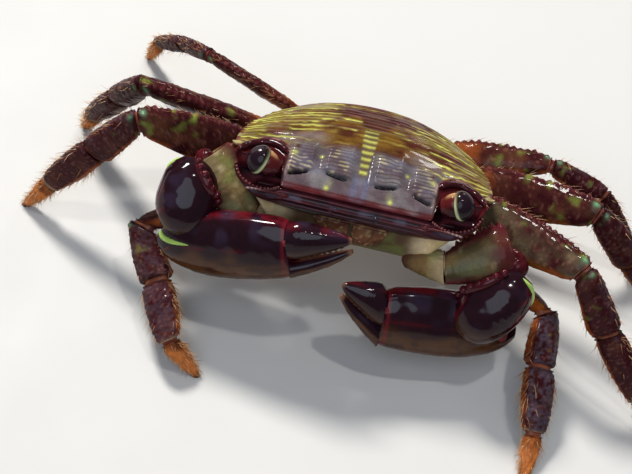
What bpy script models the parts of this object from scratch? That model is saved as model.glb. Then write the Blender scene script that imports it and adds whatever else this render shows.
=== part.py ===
"""Shore crab: a still, life-size model, with one closed solid for each named part.

Run it with: blender --background --python part.py

Lengths are in millimetres up to new_object(), which turns them into Blender's metres.
Body frame: origin on top of the carapace, +X the crab's left, +Y its rear, +Z up.
Row frame: the same axes with the floor at z = 0, before the whole is centred on the origin.
"""

import math

import bmesh
import bpy
from mathutils import Matrix, Vector

MM = 0.001
GAP = 0.3

# Driving dimensions.
CARAPACE_WIDTH = 40.0
BODY_HEIGHT = 27.0
BODY_PITCH = math.radians(25)

# Plan of the carapace: half width at each station from front corner to rear corner.
FRONT_Y, REAR_Y = -15.6, 16.0
CORNER_Y, REAR_CORNER_Y = -12.5, 15.8
FRONT_HALF_WIDTH = 11.4
ORBIT_Y = -11.9
HALF_WIDTHS = ((-12.5, 19.2), (-10.9, 18.9), (-7.5, CARAPACE_WIDTH / 2), (0.2, 19.1), (5.0, 17.4), (8.9, 15.6),
               (12.3, 13.1), (15.8, 10.4))
# Height of the carapace along the middle and along its edge.
CROWN = ((-15.6, -6.7), (-12.5, -4.5), (-8.5, -2.2), (-4.8, -0.6), (0.0, 0.0), (5.0, -0.1),
         (9.0, -0.8), (12.5, -2.2), (16.0, -4.2))
EDGE = ((-15.6, -6.6), (-12.5, -3.9), (-7.5, -4.1), (0.2, -4.5), (8.9, -5.0), (16.0, -5.2))
CROWN_POWER = 2.3
SHIELD_FLOOR = -7.3

# The four lobes behind the front margin: middle, half width and front end.
LOBES = ((3.8, 2.7, -12.6), (9.5, 2.4, -13.3))
LOBE_HEIGHT = 0.7
LOBE_LENGTH = 6.0

# Underside: level, share of the carapace's half width, front and rear.
TRUNK_LEVELS = ((-7.6, 0.80, -13.7, 14.2), (-9.6, 0.78, -13.6, 13.8), (-12.2, 0.66, -13.0, 12.4),
                (-14.0, 0.48, -11.6, 10.6))
STERNUM_SLOPE = 0.06

# Walking legs, front to rear: base in the body frame, lengths of carpus, propodus and dactyl,
# and width of the merus and of the rest against the widest pair.
LEG_BASES = (Vector((15.2, -5.0, -11.0)), Vector((16.0, 1.5, -8.9)), Vector((14.8, 8.2, -8.2)),
             Vector((11.0, 14.3, -7.0)))
LEG_LENGTHS = ((9.1, 10.2, 7.4), (10.7, 12.2, 8.6), (10.5, 12.5, 8.4), (9.6, 10.6, 7.8))
LEG_WIDTHS = ((0.85, 1.06), (1.0, 1.0), (0.98, 0.98), (0.68, 0.72))
LEG_SEGMENTS = ("merus", "carpus", "propodus", "dactyl")

# Stance of each leg: merus length; bearing and rise of the merus; bearing of carpus and propodus,
# rise of each; bearing of the dactyl; backward lean of the merus and of the rest. A bearing of 0
# points straight out from the body, and a positive one turns to the rear.
STANCE = {
    ("left", 1): (20.0, -22, -23, -83, -16, -33, -91, 50, 15),
    ("left", 2): (24.0, -34, 9, -32, -45, -44, -32, 45, 25),
    ("left", 3): (24.4, -21, 16, -8, -42, -44, -8, 45, 25),
    ("left", 4): (18.5, -4, 9, -11, -12, -53, -11, 40, 20),
    ("right", 1): (19.5, -27, -23, -117, -26, -11, -168, 50, 15),
    ("right", 2): (21.7, -21, 21, -1, -51, -57, 8, 35, 25),
    ("right", 3): (24.2, -16, 25, 42, -53, -58, 60, -12, -5),
    ("right", 4): (18.6, 14, 14, 49, -31, -42, 49, 0, 0),
}

# Profiles of the leg segments: share of the length, top, bottom and half thickness.
LEG_PROFILES = {
    "merus": ((0.0, 1.3, -1.3, 1.1), (0.1, 1.6, -1.7, 1.25), (0.22, 2.5, -3.0, 1.5),
              (0.42, 3.1, -4.1, 1.7), (0.65, 3.1, -3.7, 1.65), (0.86, 2.8, -2.7, 1.6),
              (1.0, 2.3, -2.0, 1.35)),
    "carpus": ((0.0, 2.0, -1.6, 1.3), (0.2, 2.4, -2.0, 1.55), (0.6, 2.5, -2.6, 1.7),
               (0.88, 2.3, -2.9, 1.6), (1.0, 2.0, -2.6, 1.4)),
    "propodus": ((0.0, 1.9, -2.4, 1.3), (0.18, 2.3, -2.6, 1.5), (0.55, 2.3, -2.5, 1.45),
                 (0.88, 1.9, -2.0, 1.25), (1.0, 1.6, -1.7, 1.1)),
    "dactyl": ((0.0, 1.3, -1.3, 1.0), (0.2, 1.4, -1.5, 1.05), (0.6, 1.0, -1.1, 0.85),
               (1.0, 0.5, -0.5, 0.5)),
}
LEG_SIDES = 10
LEG_ROUNDNESS = 2.4

# Claw arms, in the row frame: start of the ischium, shoulder, elbow, both ends of the carpus, a point
# on the heel's side of the palm's axis, and where that axis, the movable finger and its point end.
CLAW_JOINTS = ("root", "shoulder", "elbow", "carpus_top", "carpus_end", "heel", "palm_end", "hinge", "tip")
CLAW_POINTS = {
    "left": ((9.6, -16.4, 17.6), (15.5, -18.0, 18.8), (24.4, -14.2, 22.8), (27.4, -17.5, 20.8),
             (20.2, -24.2, 11.9), (30.1, -19.3, 10.4), (7.8, -24.3, 12.0), (7.6, -24.1, 13.6),
             (0.8, -24.1, 17.0)),
    "right": ((-9.6, -14.7, 17.4), (-15.2, -16.5, 18.4), (-23.3, -11.7, 24.9), (-25.3, -13.1, 25.0),
              (-24.9, -21.6, 16.6), (-27.9, -21.1, 14.4), (-8.2, -22.6, 20.7), (-8.4, -22.7, 22.2),
              (0.7, -21.7, 24.6)),
}
PALM_LENGTH = 21.0
PALM_UP = {"left": Vector((0.0, 0.55, 0.83)), "right": Vector((0.0, 0.40, 0.92))}
ARM_FACE = Vector((0.0, -0.55, 0.83))
CLAW_SIDES = 14
CLAW_PROFILES = {
    "ischium": ((0.0, 1.7, -1.7, 1.5), (0.5, 2.2, -2.2, 1.9), (1.0, 2.5, -2.5, 1.9)),
    "merus": ((0.0, 2.4, -2.4, 1.7), (0.25, 3.0, -3.2, 2.1), (0.6, 3.6, -4.0, 2.4),
              (0.85, 3.8, -4.3, 2.4), (1.0, 3.4, -3.9, 2.1)),
    "carpus": ((0.0, 1.6, -1.6, 1.6), (0.08, 2.9, -2.9, 2.8), (0.24, 4.1, -4.1, 3.8),
               (0.5, 4.7, -4.7, 4.2), (0.76, 4.3, -4.3, 3.9), (0.93, 2.9, -2.9, 2.8),
               (1.0, 1.6, -1.6, 1.6)),
    "palm": ((0.0, 0.8, -1.6, 1.0), (0.07, 2.4, -3.2, 1.9), (0.2, 4.0, -4.6, 2.7),
             (0.42, 5.0, -5.5, 3.2), (0.7, 5.2, -5.5, 3.2), (0.92, 4.8, -5.0, 2.9),
             (1.0, 4.2, -4.6, 2.5)),
    "fixed_finger": ((0.0, 1.35, -1.3, 1.8), (0.3, 0.9, -1.4, 1.4), (0.7, 0.55, -1.1, 0.9),
                     (1.0, 0.35, -0.4, 0.4)),
    "dactyl": ((0.0, 3.0, -2.6, 2.0), (0.15, 3.2, -2.6, 2.2), (0.45, 2.5, -2.0, 1.9),
               (0.75, 1.5, -1.3, 1.2), (0.93, 0.7, -0.7, 0.7), (1.0, 0.3, -0.4, 0.35)),
}
FINGER_BASE_DROP, FINGER_TIP_DROP = 3.3, 1.7

# Head: eyes, antennae and outer mouthparts, for the crab's left side in the body frame.
EYE_ROOT = Vector((12.5, -13.9, -4.8))
EYE_JOINT = Vector((15.0, -14.0, -4.0))
EYE_AXIS = Vector((0.74, -0.52, 0.42))
EYE_LENGTH = 2.6
EYESTALK_PROFILE = ((0.0, 1.1, -1.3, 1.1), (0.4, 1.7, -1.9, 1.5), (0.8, 2.0, -2.0, 1.7),
                    (1.0, 1.9, -1.9, 1.7))
CORNEA_PROFILE = ((0.0, 1.95, -1.95, 1.75), (0.3, 2.0, -2.0, 1.8), (0.6, 1.7, -1.7, 1.5),
                  (0.85, 1.1, -1.1, 0.95), (1.0, 0.4, -0.4, 0.35))
ANTENNA_ROOT = Vector((9.6, -15.0, -8.3))
ANTENNA_TIP = Vector((16.6, -17.0, -7.6))
ANTENNA_PROFILE = ((0.0, 0.8, -0.8, 0.8), (0.2, 0.8, -0.8, 0.8), (0.3, 0.42, -0.42, 0.42),
                   (1.0, 0.26, -0.26, 0.26))
JAW_PROFILE = ((0.0, 5.4, 0.6, 0.5), (0.3, 5.9, 0.3, 0.6), (0.7, 5.2, 0.3, 0.6),
               (1.0, 3.4, 0.8, 0.5))
JAW_TOP, JAW_BOTTOM = Vector((0.0, -14.75, -8.3)), Vector((0.0, -13.9, -13.6))

# Tail flap folded under the body: points along it and its half width at each.
FLAP = (((15.3, -7.9), 5.6), ((14.9, -11.0), 5.6), ((12.9, -14.2), 5.2), ((7.0, -15.1), 3.9),
        ((0.0, -15.5), 2.6), ((-5.5, -15.8), 1.1))
FLAP_HALF_THICKNESS = 0.55

COLOURS = {
    "carapace": ((0.055, 0.035, 0.030), 0.35), "trunk": ((0.30, 0.20, 0.10), 0.50),
    "abdomen": ((0.34, 0.24, 0.13), 0.50), "eyestalk": ((0.10, 0.03, 0.02), 0.40),
    "cornea": ((0.012, 0.014, 0.016), 0.12), "antenna": ((0.12, 0.05, 0.03), 0.50),
    "mouthpart": ((0.20, 0.10, 0.05), 0.50), "claw": ((0.045, 0.008, 0.014), 0.22),
    "claw_arm": ((0.14, 0.10, 0.05), 0.35), "leg": ((0.06, 0.020, 0.020), 0.40),
    "leg_tip": ((0.34, 0.13, 0.03), 0.60),
}


def smooth(stations, x):
    """Value at x on the smooth curve through stations, each an x with one or more values."""
    x = min(max(x, stations[0][0]), stations[-1][0])
    last = len(stations) - 1
    i = next(k for k in range(last) if x <= stations[k + 1][0])

    def slope(k, column):
        before, after = stations[max(k - 1, 0)], stations[min(k + 1, last)]
        return (after[column] - before[column]) / (after[0] - before[0])

    left, right = stations[i], stations[i + 1]
    step = right[0] - left[0]
    t = (x - left[0]) / step
    values = []
    for column in range(1, len(left)):
        values.append(
            left[column] * (1 + 2 * t) * (1 - t) ** 2
            + right[column] * t * t * (3 - 2 * t)
            + slope(i, column) * step * t * (1 - t) ** 2
            - slope(i + 1, column) * step * t * t * (1 - t)
        )
    return values[0] if len(values) == 1 else values


def ease(low, high, x):
    """0 below low, 1 above high, and a smooth step between."""
    t = min(max((x - low) / (high - low), 0.0), 1.0)
    return t * t * (3 - 2 * t)


def frame(origin, along, dorsal):
    """Matrix with +X along a segment and +Z to its dorsal side."""
    along = along.normalized()
    dorsal = (dorsal - dorsal.dot(along) * along).normalized()
    axes = Matrix((along, dorsal.cross(along), dorsal)).transposed()
    return Matrix.Translation(origin) @ axes.to_4x4()


def mirrored(vector, side):
    return vector if side == "left" else Vector((-vector.x, vector.y, vector.z))


def section_point(angle, top, bottom, half, roundness):
    """Point of a superellipse between bottom and top, in the plane across the segment."""
    c, s = math.cos(angle), math.sin(angle)
    y = math.copysign(abs(c) ** (2 / roundness), c) * half
    z = math.copysign(abs(s) ** (2 / roundness), s) * (top - bottom) / 2
    return y, z + (top + bottom) / 2


def plane_x(plane, y, z):
    """Where the line along +X through (y, z) meets a plane given as a point and a normal."""
    point, normal = plane
    return point.x - (normal.y * (y - point.y) + normal.z * (z - point.z)) / normal.x


def loft(rings):
    """Vertices and faces of a closed skin over rings of equal count."""
    count = len(rings[0])
    faces = [tuple(range(count)), tuple(range(len(rings) * count - 1, (len(rings) - 1) * count - 1, -1))]
    for i in range(len(rings) - 1):
        for j in range(count):
            a, b = i * count + j, i * count + (j + 1) % count
            faces.append((a, b, b + count, a + count))
    return [point for ring in rings for point in ring], faces


def segment_rings(place, profile, start, end, sides, roundness=2.0, grow=0.0):
    """Rings of one segment in its own frame, mitred on its two end planes."""
    inverse = place.inverted()
    planes = [(inverse @ point, inverse.to_3x3() @ normal) for point, normal in (start, end)]
    rings = []
    for share, top, bottom, half in profile:
        ring = []
        for k in range(sides):
            angle = 2 * math.pi * (k + 0.5) / sides
            y, z = section_point(angle, top + grow, bottom - grow, half + grow, roundness)
            near, far = plane_x(planes[0], y, z), plane_x(planes[1], y, z)
            ring.append(Vector((near + (far - near) * share, y, z)))
        rings.append(ring)
    return rings


def plane_before(joint, normal, gap=GAP):
    return joint - normal.normalized() * gap / 2, normal


def plane_after(joint, normal, gap=GAP):
    return joint + normal.normalized() * gap / 2, normal


def material(name, kind):
    colour, roughness = COLOURS[kind]
    made = bpy.data.materials.new(name)
    made.use_nodes = True
    shader = made.node_tree.nodes["Principled BSDF"]
    shader.inputs["Base Color"].default_value = (*colour, 1.0)
    shader.inputs["Roughness"].default_value = roughness
    shader.inputs["Metallic"].default_value = 0.0
    return made


def new_object(name, shape, kind, place, collection):
    """Object of a closed skin, placed by its matrix, with its normals facing out."""
    points, faces = shape
    mesh = bpy.data.meshes.new(name)
    mesh.from_pydata([point * MM for point in points], [], faces)
    mesh.materials.append(material(name, kind))
    skin = bmesh.new()
    skin.from_mesh(mesh)
    bmesh.ops.recalc_face_normals(skin, faces=skin.faces)
    skin.to_mesh(mesh)
    skin.free()
    mesh.shade_smooth()
    mesh.set_sharp_from_angle(angle=math.radians(50))
    made = bpy.data.objects.new(name, mesh)
    collection.objects.link(made)
    place = place.copy()
    place.translation *= MM
    made.matrix_world = place
    return made


def add_cut(target, cutter):
    cut = target.modifiers.new("Clear " + cutter.name, "BOOLEAN")
    cut.operation = "DIFFERENCE"
    cut.solver = "EXACT"
    cut.object = cutter


def as_cutter(made):
    made.hide_render = True
    made.display_type = "WIRE"
    return made


# Carapace and trunk


def front_edge(x):
    """y of the front margin, which steps back behind each eye."""
    inner = ease(FRONT_HALF_WIDTH, FRONT_HALF_WIDTH + 0.9, abs(x))
    outer = ease(18.4, 19.2, abs(x))
    return FRONT_Y + (ORBIT_Y - FRONT_Y) * inner + (CORNER_Y - 0.4 - ORBIT_Y) * outer


def lobe_height(x, y):
    raised = 0.0
    for middle, half, front in LOBES:
        across = 1 - ease(half * 0.6, half, abs(abs(x) - middle))
        behind = ease(front - 0.5, front + 0.3, y) * (1 - ease(front + 1.0, front + LOBE_LENGTH, y))
        raised = max(raised, across * behind)
    return LOBE_HEIGHT * raised


def carapace_height(x, y):
    share = min(abs(x) / smooth(HALF_WIDTHS, y), 1.0)
    crown, edge = smooth(CROWN, y), smooth(EDGE, y)
    return crown + (edge - crown) * share ** CROWN_POWER + lobe_height(x, y)


def carapace_point(across, along):
    """Point of the carapace for across from -1 to 1 and along from 0 at the front to 1."""
    front = front_edge(across * HALF_WIDTHS[0][1])
    rear = REAR_Y + (REAR_CORNER_Y - REAR_Y) * across * across
    y = front + (rear - front) * along
    half = smooth(HALF_WIDTHS, CORNER_Y + (REAR_CORNER_Y - CORNER_Y) * along)
    return Vector((across * half, y, carapace_height(across * half, y)))


def rim_order(columns, rows):
    """Grid indices once round the rim."""
    rim = [(i, 0) for i in range(columns)] + [(columns, j) for j in range(rows)]
    rim += [(i, rows) for i in range(columns, 0, -1)] + [(0, j) for j in range(rows, 0, -1)]
    return rim


def build_carapace(collection, place):
    columns, rows = 34, 18
    points, faces = [], []
    for j in range(rows + 1):
        along = (j / rows) ** 1.35
        for i in range(columns + 1):
            points.append(carapace_point(2 * i / columns - 1, along))
    for j in range(rows):
        for i in range(columns):
            a = j * (columns + 1) + i
            faces.append((a, a + 1, a + columns + 2, a + columns + 1))
    rim = [j * (columns + 1) + i for i, j in rim_order(columns, rows)]
    floor = len(points)
    for index in rim:
        point = points[index]
        inward = 0.93 if abs(point.x) > FRONT_HALF_WIDTH or point.y > 0 else 0.98
        points.append(Vector((point.x * inward, min(point.y + 0.5, 15.0), SHIELD_FLOOR)))
    for k in range(len(rim)):
        after = (k + 1) % len(rim)
        faces.append((rim[k], rim[after], floor + after, floor + k))
    faces.append(tuple(range(floor, len(points))))
    return new_object("carapace", (points, faces), "carapace", place, collection)


def trunk_ring(level, width, front, rear, tilt):
    ring = []
    columns, rows = 10, 8
    for i, j in rim_order(columns, rows):
        across, along = 2 * i / columns - 1, j / rows
        y = front + (rear - front) * along
        half = width * smooth(HALF_WIDTHS, CORNER_Y + (REAR_CORNER_Y - CORNER_Y) * along)
        ring.append(Vector((across * half, y, level - tilt * (rear - y))))
    return ring


def build_trunk(collection, place):
    rings = []
    for number, (level, width, front, rear) in enumerate(TRUNK_LEVELS):
        tilt = STERNUM_SLOPE * number / (len(TRUNK_LEVELS) - 1)
        rings.append(trunk_ring(level, width, front, rear, tilt))
    return new_object("trunk", loft(rings), "trunk", place, collection)


def build_abdomen(collection, place):
    rings = []
    for number, ((y, z), half) in enumerate(FLAP):
        before, after = FLAP[max(number - 1, 0)][0], FLAP[min(number + 1, len(FLAP) - 1)][0]
        heading = Vector((0.0, after[0] - before[0], after[1] - before[1])).normalized()
        outward = heading.cross(Vector((1.0, 0.0, 0.0)))
        ring = []
        for k in range(LEG_SIDES):
            angle = 2 * math.pi * (k + 0.5) / LEG_SIDES
            wide, deep = section_point(angle, FLAP_HALF_THICKNESS, -FLAP_HALF_THICKNESS, half, 3.0)
            ring.append(Vector((wide, y, z)) + outward * deep)
        rings.append(ring)
    return new_object("abdomen", loft(rings), "abdomen", place, collection)


# Head


def build_head(collection, body):
    for side in ("left", "right"):
        root, joint, axis = (mirrored(v, side) for v in (EYE_ROOT, EYE_JOINT, EYE_AXIS))
        up = Vector((0.0, 0.0, 1.0))
        stalk_way = joint - root
        bend = stalk_way.normalized() + axis.normalized()
        place = frame(root, stalk_way, up)
        rings = segment_rings(place, EYESTALK_PROFILE, (root, stalk_way), plane_before(joint, bend), 12)
        new_object(side + "_eyestalk", loft(rings), "eyestalk", body @ place, collection)
        place = frame(joint, axis, up)
        tip = joint + axis.normalized() * EYE_LENGTH
        rings = segment_rings(place, CORNEA_PROFILE, plane_after(joint, bend), (tip, axis), 12)
        new_object(side + "_cornea", loft(rings), "cornea", body @ place, collection)

        root, tip = mirrored(ANTENNA_ROOT, side), mirrored(ANTENNA_TIP, side)
        place = frame(root, tip - root, up)
        rings = segment_rings(place, ANTENNA_PROFILE, (root, tip - root), (tip, tip - root), 8)
        new_object(side + "_antenna", loft(rings), "antenna", body @ place, collection)

        outward = mirrored(Vector((1.0, 0.0, 0.0)), side)
        way = JAW_BOTTOM - JAW_TOP
        place = frame(JAW_TOP, way, outward)
        rings = segment_rings(place, JAW_PROFILE, (JAW_TOP, way), (JAW_BOTTOM, way), 12, 2.6)
        new_object(side + "_mouthpart", loft(rings), "mouthpart", body @ place, collection)


# Walking legs


def heading(side, bearing, rise):
    a, e = math.radians(bearing), math.radians(rise)
    return mirrored(Vector((math.cos(a) * math.cos(e), math.sin(a) * math.cos(e), math.sin(e))), side)


def leg_chain(side, number, body):
    """Joints, headings and dorsal directions of one leg, in the row frame."""
    reach, bearing, rise, out, carpus_rise, propodus_rise, turn, lean, low_lean = STANCE[side, number]
    carpus, propodus, dactyl = LEG_LENGTHS[number - 1]
    joints = [body @ mirrored(LEG_BASES[number - 1], side)]
    ways = [heading(side, bearing, rise), heading(side, out, carpus_rise),
            heading(side, out, propodus_rise)]
    for way, length in zip(ways, (reach, carpus, propodus)):
        joints.append(joints[-1] + way * length)
    # The dactyl is as steep as takes its point to the floor.
    steep = math.degrees(math.asin(min(joints[-1].z / dactyl, 0.98)))
    ways.append(heading(side, turn, -steep))
    joints.append(joints[-1] + ways[-1] * (joints[-1].z / -ways[-1].z))
    dorsals = [-(ways[1] - ways[1].dot(ways[0]) * ways[0]).normalized(), ways[0], ways[0], ways[0]]
    turned = []
    for way, dorsal, degrees in zip(ways, dorsals, (lean, low_lean, low_lean, low_lean)):
        dorsal = (dorsal - dorsal.dot(way) * way).normalized()
        back = dorsal.cross(way) * (1 if side == "left" else -1)
        angle = math.radians(degrees)
        turned.append(dorsal * math.cos(angle) + back * math.sin(angle))
    return joints, ways, turned


def build_leg(collection, cutters, side, number, body):
    """Four segments of one leg. Returns the cutter that clears its root."""
    joints, ways, dorsals = leg_chain(side, number, body)
    planes = [(joints[0], ways[0])]
    for i in range(1, 4):
        planes.append((joints[i], ways[i - 1] + ways[i]))
    floor = (joints[4], Vector((0.0, 0.0, -1.0)))
    name = f"{side}_leg_{number}_"
    cutter = None
    for i, part in enumerate(LEG_SEGMENTS):
        place = frame(joints[i], ways[i], dorsals[i])
        size = LEG_WIDTHS[number - 1][min(i, 1)]
        profile = [(s, top * size, bottom * size, half * size) for s, top, bottom, half in LEG_PROFILES[part]]
        start = plane_after(*planes[i]) if i else planes[i]
        end = floor if i == 3 else plane_before(*planes[i + 1])
        rings = segment_rings(place, profile, start, end, LEG_SIDES, LEG_ROUNDNESS)
        kind = "leg_tip" if part == "dactyl" else "leg"
        new_object(name + part, loft(rings), kind, place, collection)
        if i == 0:
            start = (joints[0] - ways[0] * GAP, ways[0])
            rings = segment_rings(place, profile, start, end, LEG_SIDES, LEG_ROUNDNESS, GAP)
            cutter = as_cutter(new_object(name + "room", loft(rings), kind, place, cutters))
    return cutter


# Claws


def build_claw(collection, cutters, side):
    """Five parts of one claw arm. Returns the cutter that clears its root."""
    at = {joint: Vector(point) for joint, point in zip(CLAW_JOINTS, CLAW_POINTS[side])}
    arm = (("ischium", at["root"], at["shoulder"]), ("merus", at["shoulder"], at["elbow"]),
           ("carpus", at["carpus_top"], at["carpus_end"]))
    turn = (at["shoulder"] - at["root"]).normalized() + (at["elbow"] - at["shoulder"]).normalized()
    name = side + "_claw_"
    made, rooms = {}, {}
    for part, near, far in arm:
        way = (far - near).normalized()
        dorsal = way.cross(ARM_FACE) if side == "right" else ARM_FACE.cross(way)
        place = frame(near, way, dorsal)
        start = plane_after(near, turn) if part == "merus" else (near, way)
        end = plane_before(far, turn) if part == "ischium" else (far, way)
        kind = "claw" if part == "carpus" else "claw_arm"
        rings = segment_rings(place, CLAW_PROFILES[part], start, end, CLAW_SIDES, 2.2)
        made[part] = new_object(name + part, loft(rings), kind, place, collection)
        start, end = (start[0] - way * GAP, start[1]), (end[0] + way * GAP, end[1])
        rings = segment_rings(place, CLAW_PROFILES[part], start, end, CLAW_SIDES, 2.2, GAP)
        if part != "merus":
            rooms[part] = as_cutter(new_object(name + part + "_room", loft(rings), kind, place, cutters))

    along = (at["palm_end"] - at["heel"]).normalized()
    heel = at["palm_end"] - along * PALM_LENGTH
    place = frame(heel, along, PALM_UP[side])
    palm = segment_rings(place, CLAW_PROFILES["palm"], (heel, along), (at["palm_end"], along), CLAW_SIDES, 2.2)
    grown = segment_rings(place, CLAW_PROFILES["palm"], (heel, along), (at["palm_end"], along), CLAW_SIDES,
                          2.2, GAP)
    rooms["palm"] = as_cutter(new_object(name + "palm_room", loft(grown), "claw", place, cutters))
    up = place.to_3x3() @ Vector((0.0, 0.0, 1.0))
    finger_start = at["palm_end"] + along * GAP - up * FINGER_BASE_DROP
    finger_end = at["tip"] - up * FINGER_TIP_DROP
    way = (finger_end - finger_start).normalized()
    fixed = segment_rings(frame(finger_start, way, up), CLAW_PROFILES["fixed_finger"],
                          (finger_start, along), (finger_end, way), CLAW_SIDES, 2.2)
    fixed = [[place.inverted() @ frame(finger_start, way, up) @ point for point in ring] for ring in fixed]
    made["propodus"] = new_object(name + "propodus", loft(palm + fixed), "claw", place, collection)
    for part, room in (("merus", "carpus"), ("propodus", "carpus"), ("merus", "palm"), ("ischium", "palm")):
        add_cut(made[part], rooms[room])
    way = at["tip"] - at["hinge"]
    place = frame(at["hinge"], way, PALM_UP[side])
    rings = segment_rings(place, CLAW_PROFILES["dactyl"], plane_after(at["palm_end"], along, 2 * GAP),
                          (at["tip"], way), CLAW_SIDES, 2.2)
    new_object(name + "dactyl", loft(rings), "claw", place, collection)
    return rooms["ischium"]


def centre_on_origin(collection):
    """Moves every part so that the middle of the bounding box's underside is the origin."""
    bpy.context.view_layer.update()
    corners = [o.matrix_world @ v.co for o in collection.objects for v in o.data.vertices]
    low = [min(c[k] for c in corners) for k in range(3)]
    high = [max(c[k] for c in corners) for k in range(3)]
    return Vector(((low[0] + high[0]) / -2, (low[1] + high[1]) / -2, -low[2]))


def main():
    for old in list(bpy.data.objects):
        bpy.data.objects.remove(old, do_unlink=True)
    scene = bpy.context.scene
    crab = bpy.data.collections.new("Shore crab")
    cutters = bpy.data.collections.new("Cutters")
    scene.collection.children.link(crab)
    scene.collection.children.link(cutters)

    body = Matrix.Translation((0.0, 0.0, BODY_HEIGHT)) @ Matrix.Rotation(-BODY_PITCH, 4, "X")
    carapace = build_carapace(crab, body)
    trunk = build_trunk(crab, body)
    build_abdomen(crab, body)
    build_head(crab, body)
    for side in ("left", "right"):
        add_cut(trunk, build_claw(crab, cutters, side))
        for number in range(1, 5):
            room = build_leg(crab, cutters, side, number, body)
            add_cut(trunk, room)
            add_cut(carapace, room)

    move = centre_on_origin(crab)
    row = bpy.data.objects.new("crab_row", None)
    crab.objects.link(row)
    for part in [o for o in bpy.data.objects if o.type == "MESH"]:
        part.parent = row
    row.location = move


main()
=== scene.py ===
"""Shore crab, the finish: shell, eyes, claws, legs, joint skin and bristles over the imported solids.

Lengths are in millimetres up to world(), which adds the row's shift and turns them into metres.
Body frame: origin on top of the carapace, +X the crab's left, +Y its rear, +Z up.
Row frame: the same axes with the floor at z = 0. A place is (origin, axes), the axes in columns.
"""

import math
from itertools import product
from types import SimpleNamespace

import bpy
import numpy as np
from bpy.props import FloatProperty, FloatVectorProperty, IntProperty, PointerProperty
from mathutils import Matrix, Vector

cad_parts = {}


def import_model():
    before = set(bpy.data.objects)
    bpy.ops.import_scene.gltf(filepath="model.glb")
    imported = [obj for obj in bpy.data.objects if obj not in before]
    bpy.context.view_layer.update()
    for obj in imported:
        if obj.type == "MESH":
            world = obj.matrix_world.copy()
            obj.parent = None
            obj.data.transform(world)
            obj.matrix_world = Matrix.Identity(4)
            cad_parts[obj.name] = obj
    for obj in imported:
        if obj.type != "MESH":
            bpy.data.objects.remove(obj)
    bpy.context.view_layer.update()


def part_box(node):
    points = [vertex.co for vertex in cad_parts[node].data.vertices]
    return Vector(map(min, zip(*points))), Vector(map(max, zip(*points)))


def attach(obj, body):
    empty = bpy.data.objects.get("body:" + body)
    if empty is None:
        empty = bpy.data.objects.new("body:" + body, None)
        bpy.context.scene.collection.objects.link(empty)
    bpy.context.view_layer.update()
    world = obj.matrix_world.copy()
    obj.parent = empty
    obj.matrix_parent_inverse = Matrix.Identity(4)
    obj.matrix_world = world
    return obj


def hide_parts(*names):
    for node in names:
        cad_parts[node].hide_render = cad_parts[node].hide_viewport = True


bl_info = {
    "name": "Shore crab",
    "version": (1, 0, 0),
    "blender": (4, 5, 0),
    "location": "View3D > Sidebar > Shore crab",
    "description": "Finishes a still, life-size shore crab over its packed solids",
    "category": "Add Mesh",
}

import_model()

MM = 0.001
GAP = 0.3
SIDES = ("left", "right")


def rgb(red, green, blue):
    """Screen values from 0 to 255 turned into linear light."""
    c = np.array((red, green, blue), float) / 255
    return np.where(c > 0.04045, ((c + 0.055) / 1.055) ** 2.4, c / 12.92)


def palette(**colours):
    """Named colours, each given by its screen values."""
    return SimpleNamespace(**{name: rgb(*values) for name, values in colours.items()})


# Colours of each area.
SHELL = palette(ochre=(102, 74, 26), moss=(110, 96, 34), smoke=(86, 72, 76), soot=(58, 44, 46),
                sand=(176, 162, 118), blue_grey=(90, 92, 114), pale_blue=(98, 100, 128), umber=(70, 58, 60),
                black=(10, 3, 6), scar=(60, 24, 24), ash=(126, 118, 118), groove=(84, 66, 52),
                pink_grey=(186, 152, 144), pink_brown=(176, 130, 120), pale_mark=(170, 160, 110),
                wall=(52, 16, 24), floor=(90, 60, 50))
UNDER = palette(tan=(196, 168, 118), cream=(226, 200, 158), red_brown=(110, 60, 58), mouth=(62, 36, 26),
                top=(48, 14, 20), green=(120, 130, 70), groove=(120, 84, 62), flap_brown=(96, 62, 34),
                flap_red=(70, 28, 28))
HEAD = palette(stalk=(84, 24, 24), stalk_shade=(44, 12, 20), stalk_pale=(186, 140, 92), eye=(30, 16, 24),
               eye_brown=(70, 50, 36), eye_grey=(84, 72, 78), eye_band=(18, 10, 14),
               eye_ring=(190, 198, 150),
               upper_rim=(50, 15, 20), lower_rim=(58, 18, 24), bead=(114, 66, 64), cheek=(42, 15, 21),
               ridge=(76, 24, 30), cheek_grey=(88, 82, 98), cheek_low=(124, 92, 56), whip=(76, 34, 36),
               whip_ring=(172, 150, 148), jaw=(112, 72, 46), jaw_shade=(66, 28, 28), horn=(48, 26, 18))
LEG = palette(slate=(92, 88, 100), olive=(84, 72, 54), green=(112, 126, 50), tooth=(116, 54, 54),
              grey=(76, 66, 76), speck=(150, 96, 84), inside=(150, 84, 60), skin=(150, 88, 62),
              skin_shade=(92, 30, 30), hip=(190, 140, 86), hip_shade=(122, 64, 44), bristle=(196, 120, 60),
              bristle_pale=(232, 196, 150), bristle_dark=(90, 44, 30))
CLAW = palette(brown=(118, 88, 56), green=(124, 150, 72), root=(66, 40, 30), pale=(196, 176, 138),
               olive=(70, 62, 44), streak=(110, 112, 84), cream=(206, 190, 142), elbow=(76, 24, 28),
               upper=(72, 22, 28), tooth=(140, 60, 58), lower=(88, 26, 32), tip=(170, 120, 88),
               violet=(48, 38, 56), inside=(92, 34, 34), crest=(62, 12, 20), bead=(68, 14, 22),
               boss=(112, 34, 38), shoulder=(190, 150, 112), elbow_skin=(72, 18, 24), wrist=(112, 36, 36),
               finger_skin=(206, 170, 160))

# Body: height of the carapace's top and its pitch, and the ends of the carapace's plan.
BODY_HEIGHT = 27.0
BODY_PITCH = math.radians(25)
FRONT_Y, REAR_Y = -15.6, 16.0
CORNER_Y, REAR_CORNER_Y = -12.5, 15.8
FRONT_HALF_WIDTH, ORBIT_Y = 11.4, -11.9
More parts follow.
